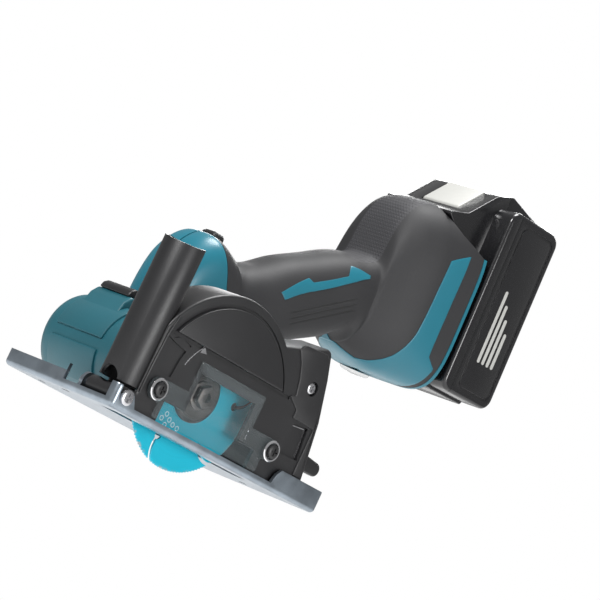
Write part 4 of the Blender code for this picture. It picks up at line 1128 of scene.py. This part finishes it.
def lamp(name, location, size, power, aim=(0.02, 0.02, 0.09)):
    fresh()
    bpy.ops.object.light_add(type="AREA", location=location)
    light = bpy.context.object
    light.name = name
    light.data.shape = "DISK"
    light.data.size = size
    light.data.energy = power
    light.rotation_euler = (Vector(location) - Vector(aim)).to_track_quat("Z", "Y").to_euler()
    return light


class SAW_OT_stage(bpy.types.Operator):
    """Pale floor, soft studio lights and the camera"""
    bl_idname = "saw.stage"
    bl_label = "Stage"

    def execute(self, context):
        fresh()
        bpy.ops.mesh.primitive_circle_add(vertices=128, radius=1.4, fill_type="NGON", location=(0, 0, -0.16))
        floor = placed(named("pale_floor"))
        look = Finish("pale_floor", 0.6)
        look.colour(look.mixed(look.noise(60, 3.0), (0.86, 0.86, 0.86, 1), (0.9, 0.9, 0.9, 1)))
        floor.data.materials.append(look.material)
        world = bpy.data.worlds.new("studio")
        world.use_nodes = True
        background = world.node_tree.nodes["Background"]
        background.inputs["Color"].default_value = (1, 1, 1, 1)
        path = world.node_tree.nodes.new("ShaderNodeLightPath")
        level = world.node_tree.nodes.new("ShaderNodeMapRange")
        level.inputs["To Min"].default_value = 0.34
        level.inputs["To Max"].default_value = 1.0
        world.node_tree.links.new(path.outputs["Is Camera Ray"], level.inputs["Value"])
        world.node_tree.links.new(level.outputs["Result"], background.inputs["Strength"])
        bpy.context.scene.world = world
        bpy.context.scene.view_settings.view_transform = "Standard"
        lamp("key", (-0.95, -0.25, 0.75), 0.45, 15)
        lamp("fill", (0.1, -1.15, 0.1), 0.5, 7)
        lamp("top", (0.15, 0.1, 1.0), 0.5, 10)
        lamp("rear", (0.9, 0.7, 0.5), 0.6, 7)
        bpy.ops.object.camera_add()
        camera = bpy.context.object
        camera.name = "camera"
        camera.data.lens = 155.78
        camera.data.sensor_width = 36.0
        camera.matrix_world = Matrix(((0.59123, -0.37066, -0.71628, -0.86164), (-0.68711, 0.23352, -0.68800, -0.87053),
                                      (0.42228, 0.89893, -0.11662, -0.05565), (0, 0, 0, 1)))
        bpy.context.scene.camera = camera
        return {"FINISHED"}


class SAW_PT_panel(bpy.types.Panel):
    """Lists the saw's pieces and sizes"""
    bl_idname = "SAW_PT_panel"
    bl_label = "Circular saw"
    bl_space_type = "VIEW_3D"
    bl_region_type = "UI"
    bl_category = "Saw"

    def draw(self, context):
        for step in STEPS:
            self.layout.operator(step.bl_idname)
        for group in (context.scene.saw_sizes, context.scene.saw_colours):
            for name in group.__annotations__:
                self.layout.prop(group, name)


STEPS = (SAW_OT_base, SAW_OT_blade_case, SAW_OT_clear_cover, SAW_OT_dust_nozzle, SAW_OT_blade,
         SAW_OT_motor_housing, SAW_OT_body_shells, SAW_OT_grip_cover, SAW_OT_controls, SAW_OT_lamp,
         SAW_OT_screws, SAW_OT_battery, SAW_OT_inner_parts, SAW_OT_stage)


def register():
    for group in (SawSizes, SawColours, *STEPS, SAW_PT_panel):
        bpy.utils.register_class(group)
    bpy.types.Scene.saw_sizes = bpy.props.PointerProperty(type=SawSizes)
    bpy.types.Scene.saw_colours = bpy.props.PointerProperty(type=SawColours)


def unregister():
    del bpy.types.Scene.saw_colours
    del bpy.types.Scene.saw_sizes
    for group in reversed((SawSizes, SawColours, *STEPS, SAW_PT_panel)):
        bpy.utils.unregister_class(group)


def main():
    register()
    for step in STEPS:
        family, action = step.bl_idname.split(".")
        getattr(getattr(bpy.ops, family), action)()


if __name__ == "__main__":
    main()
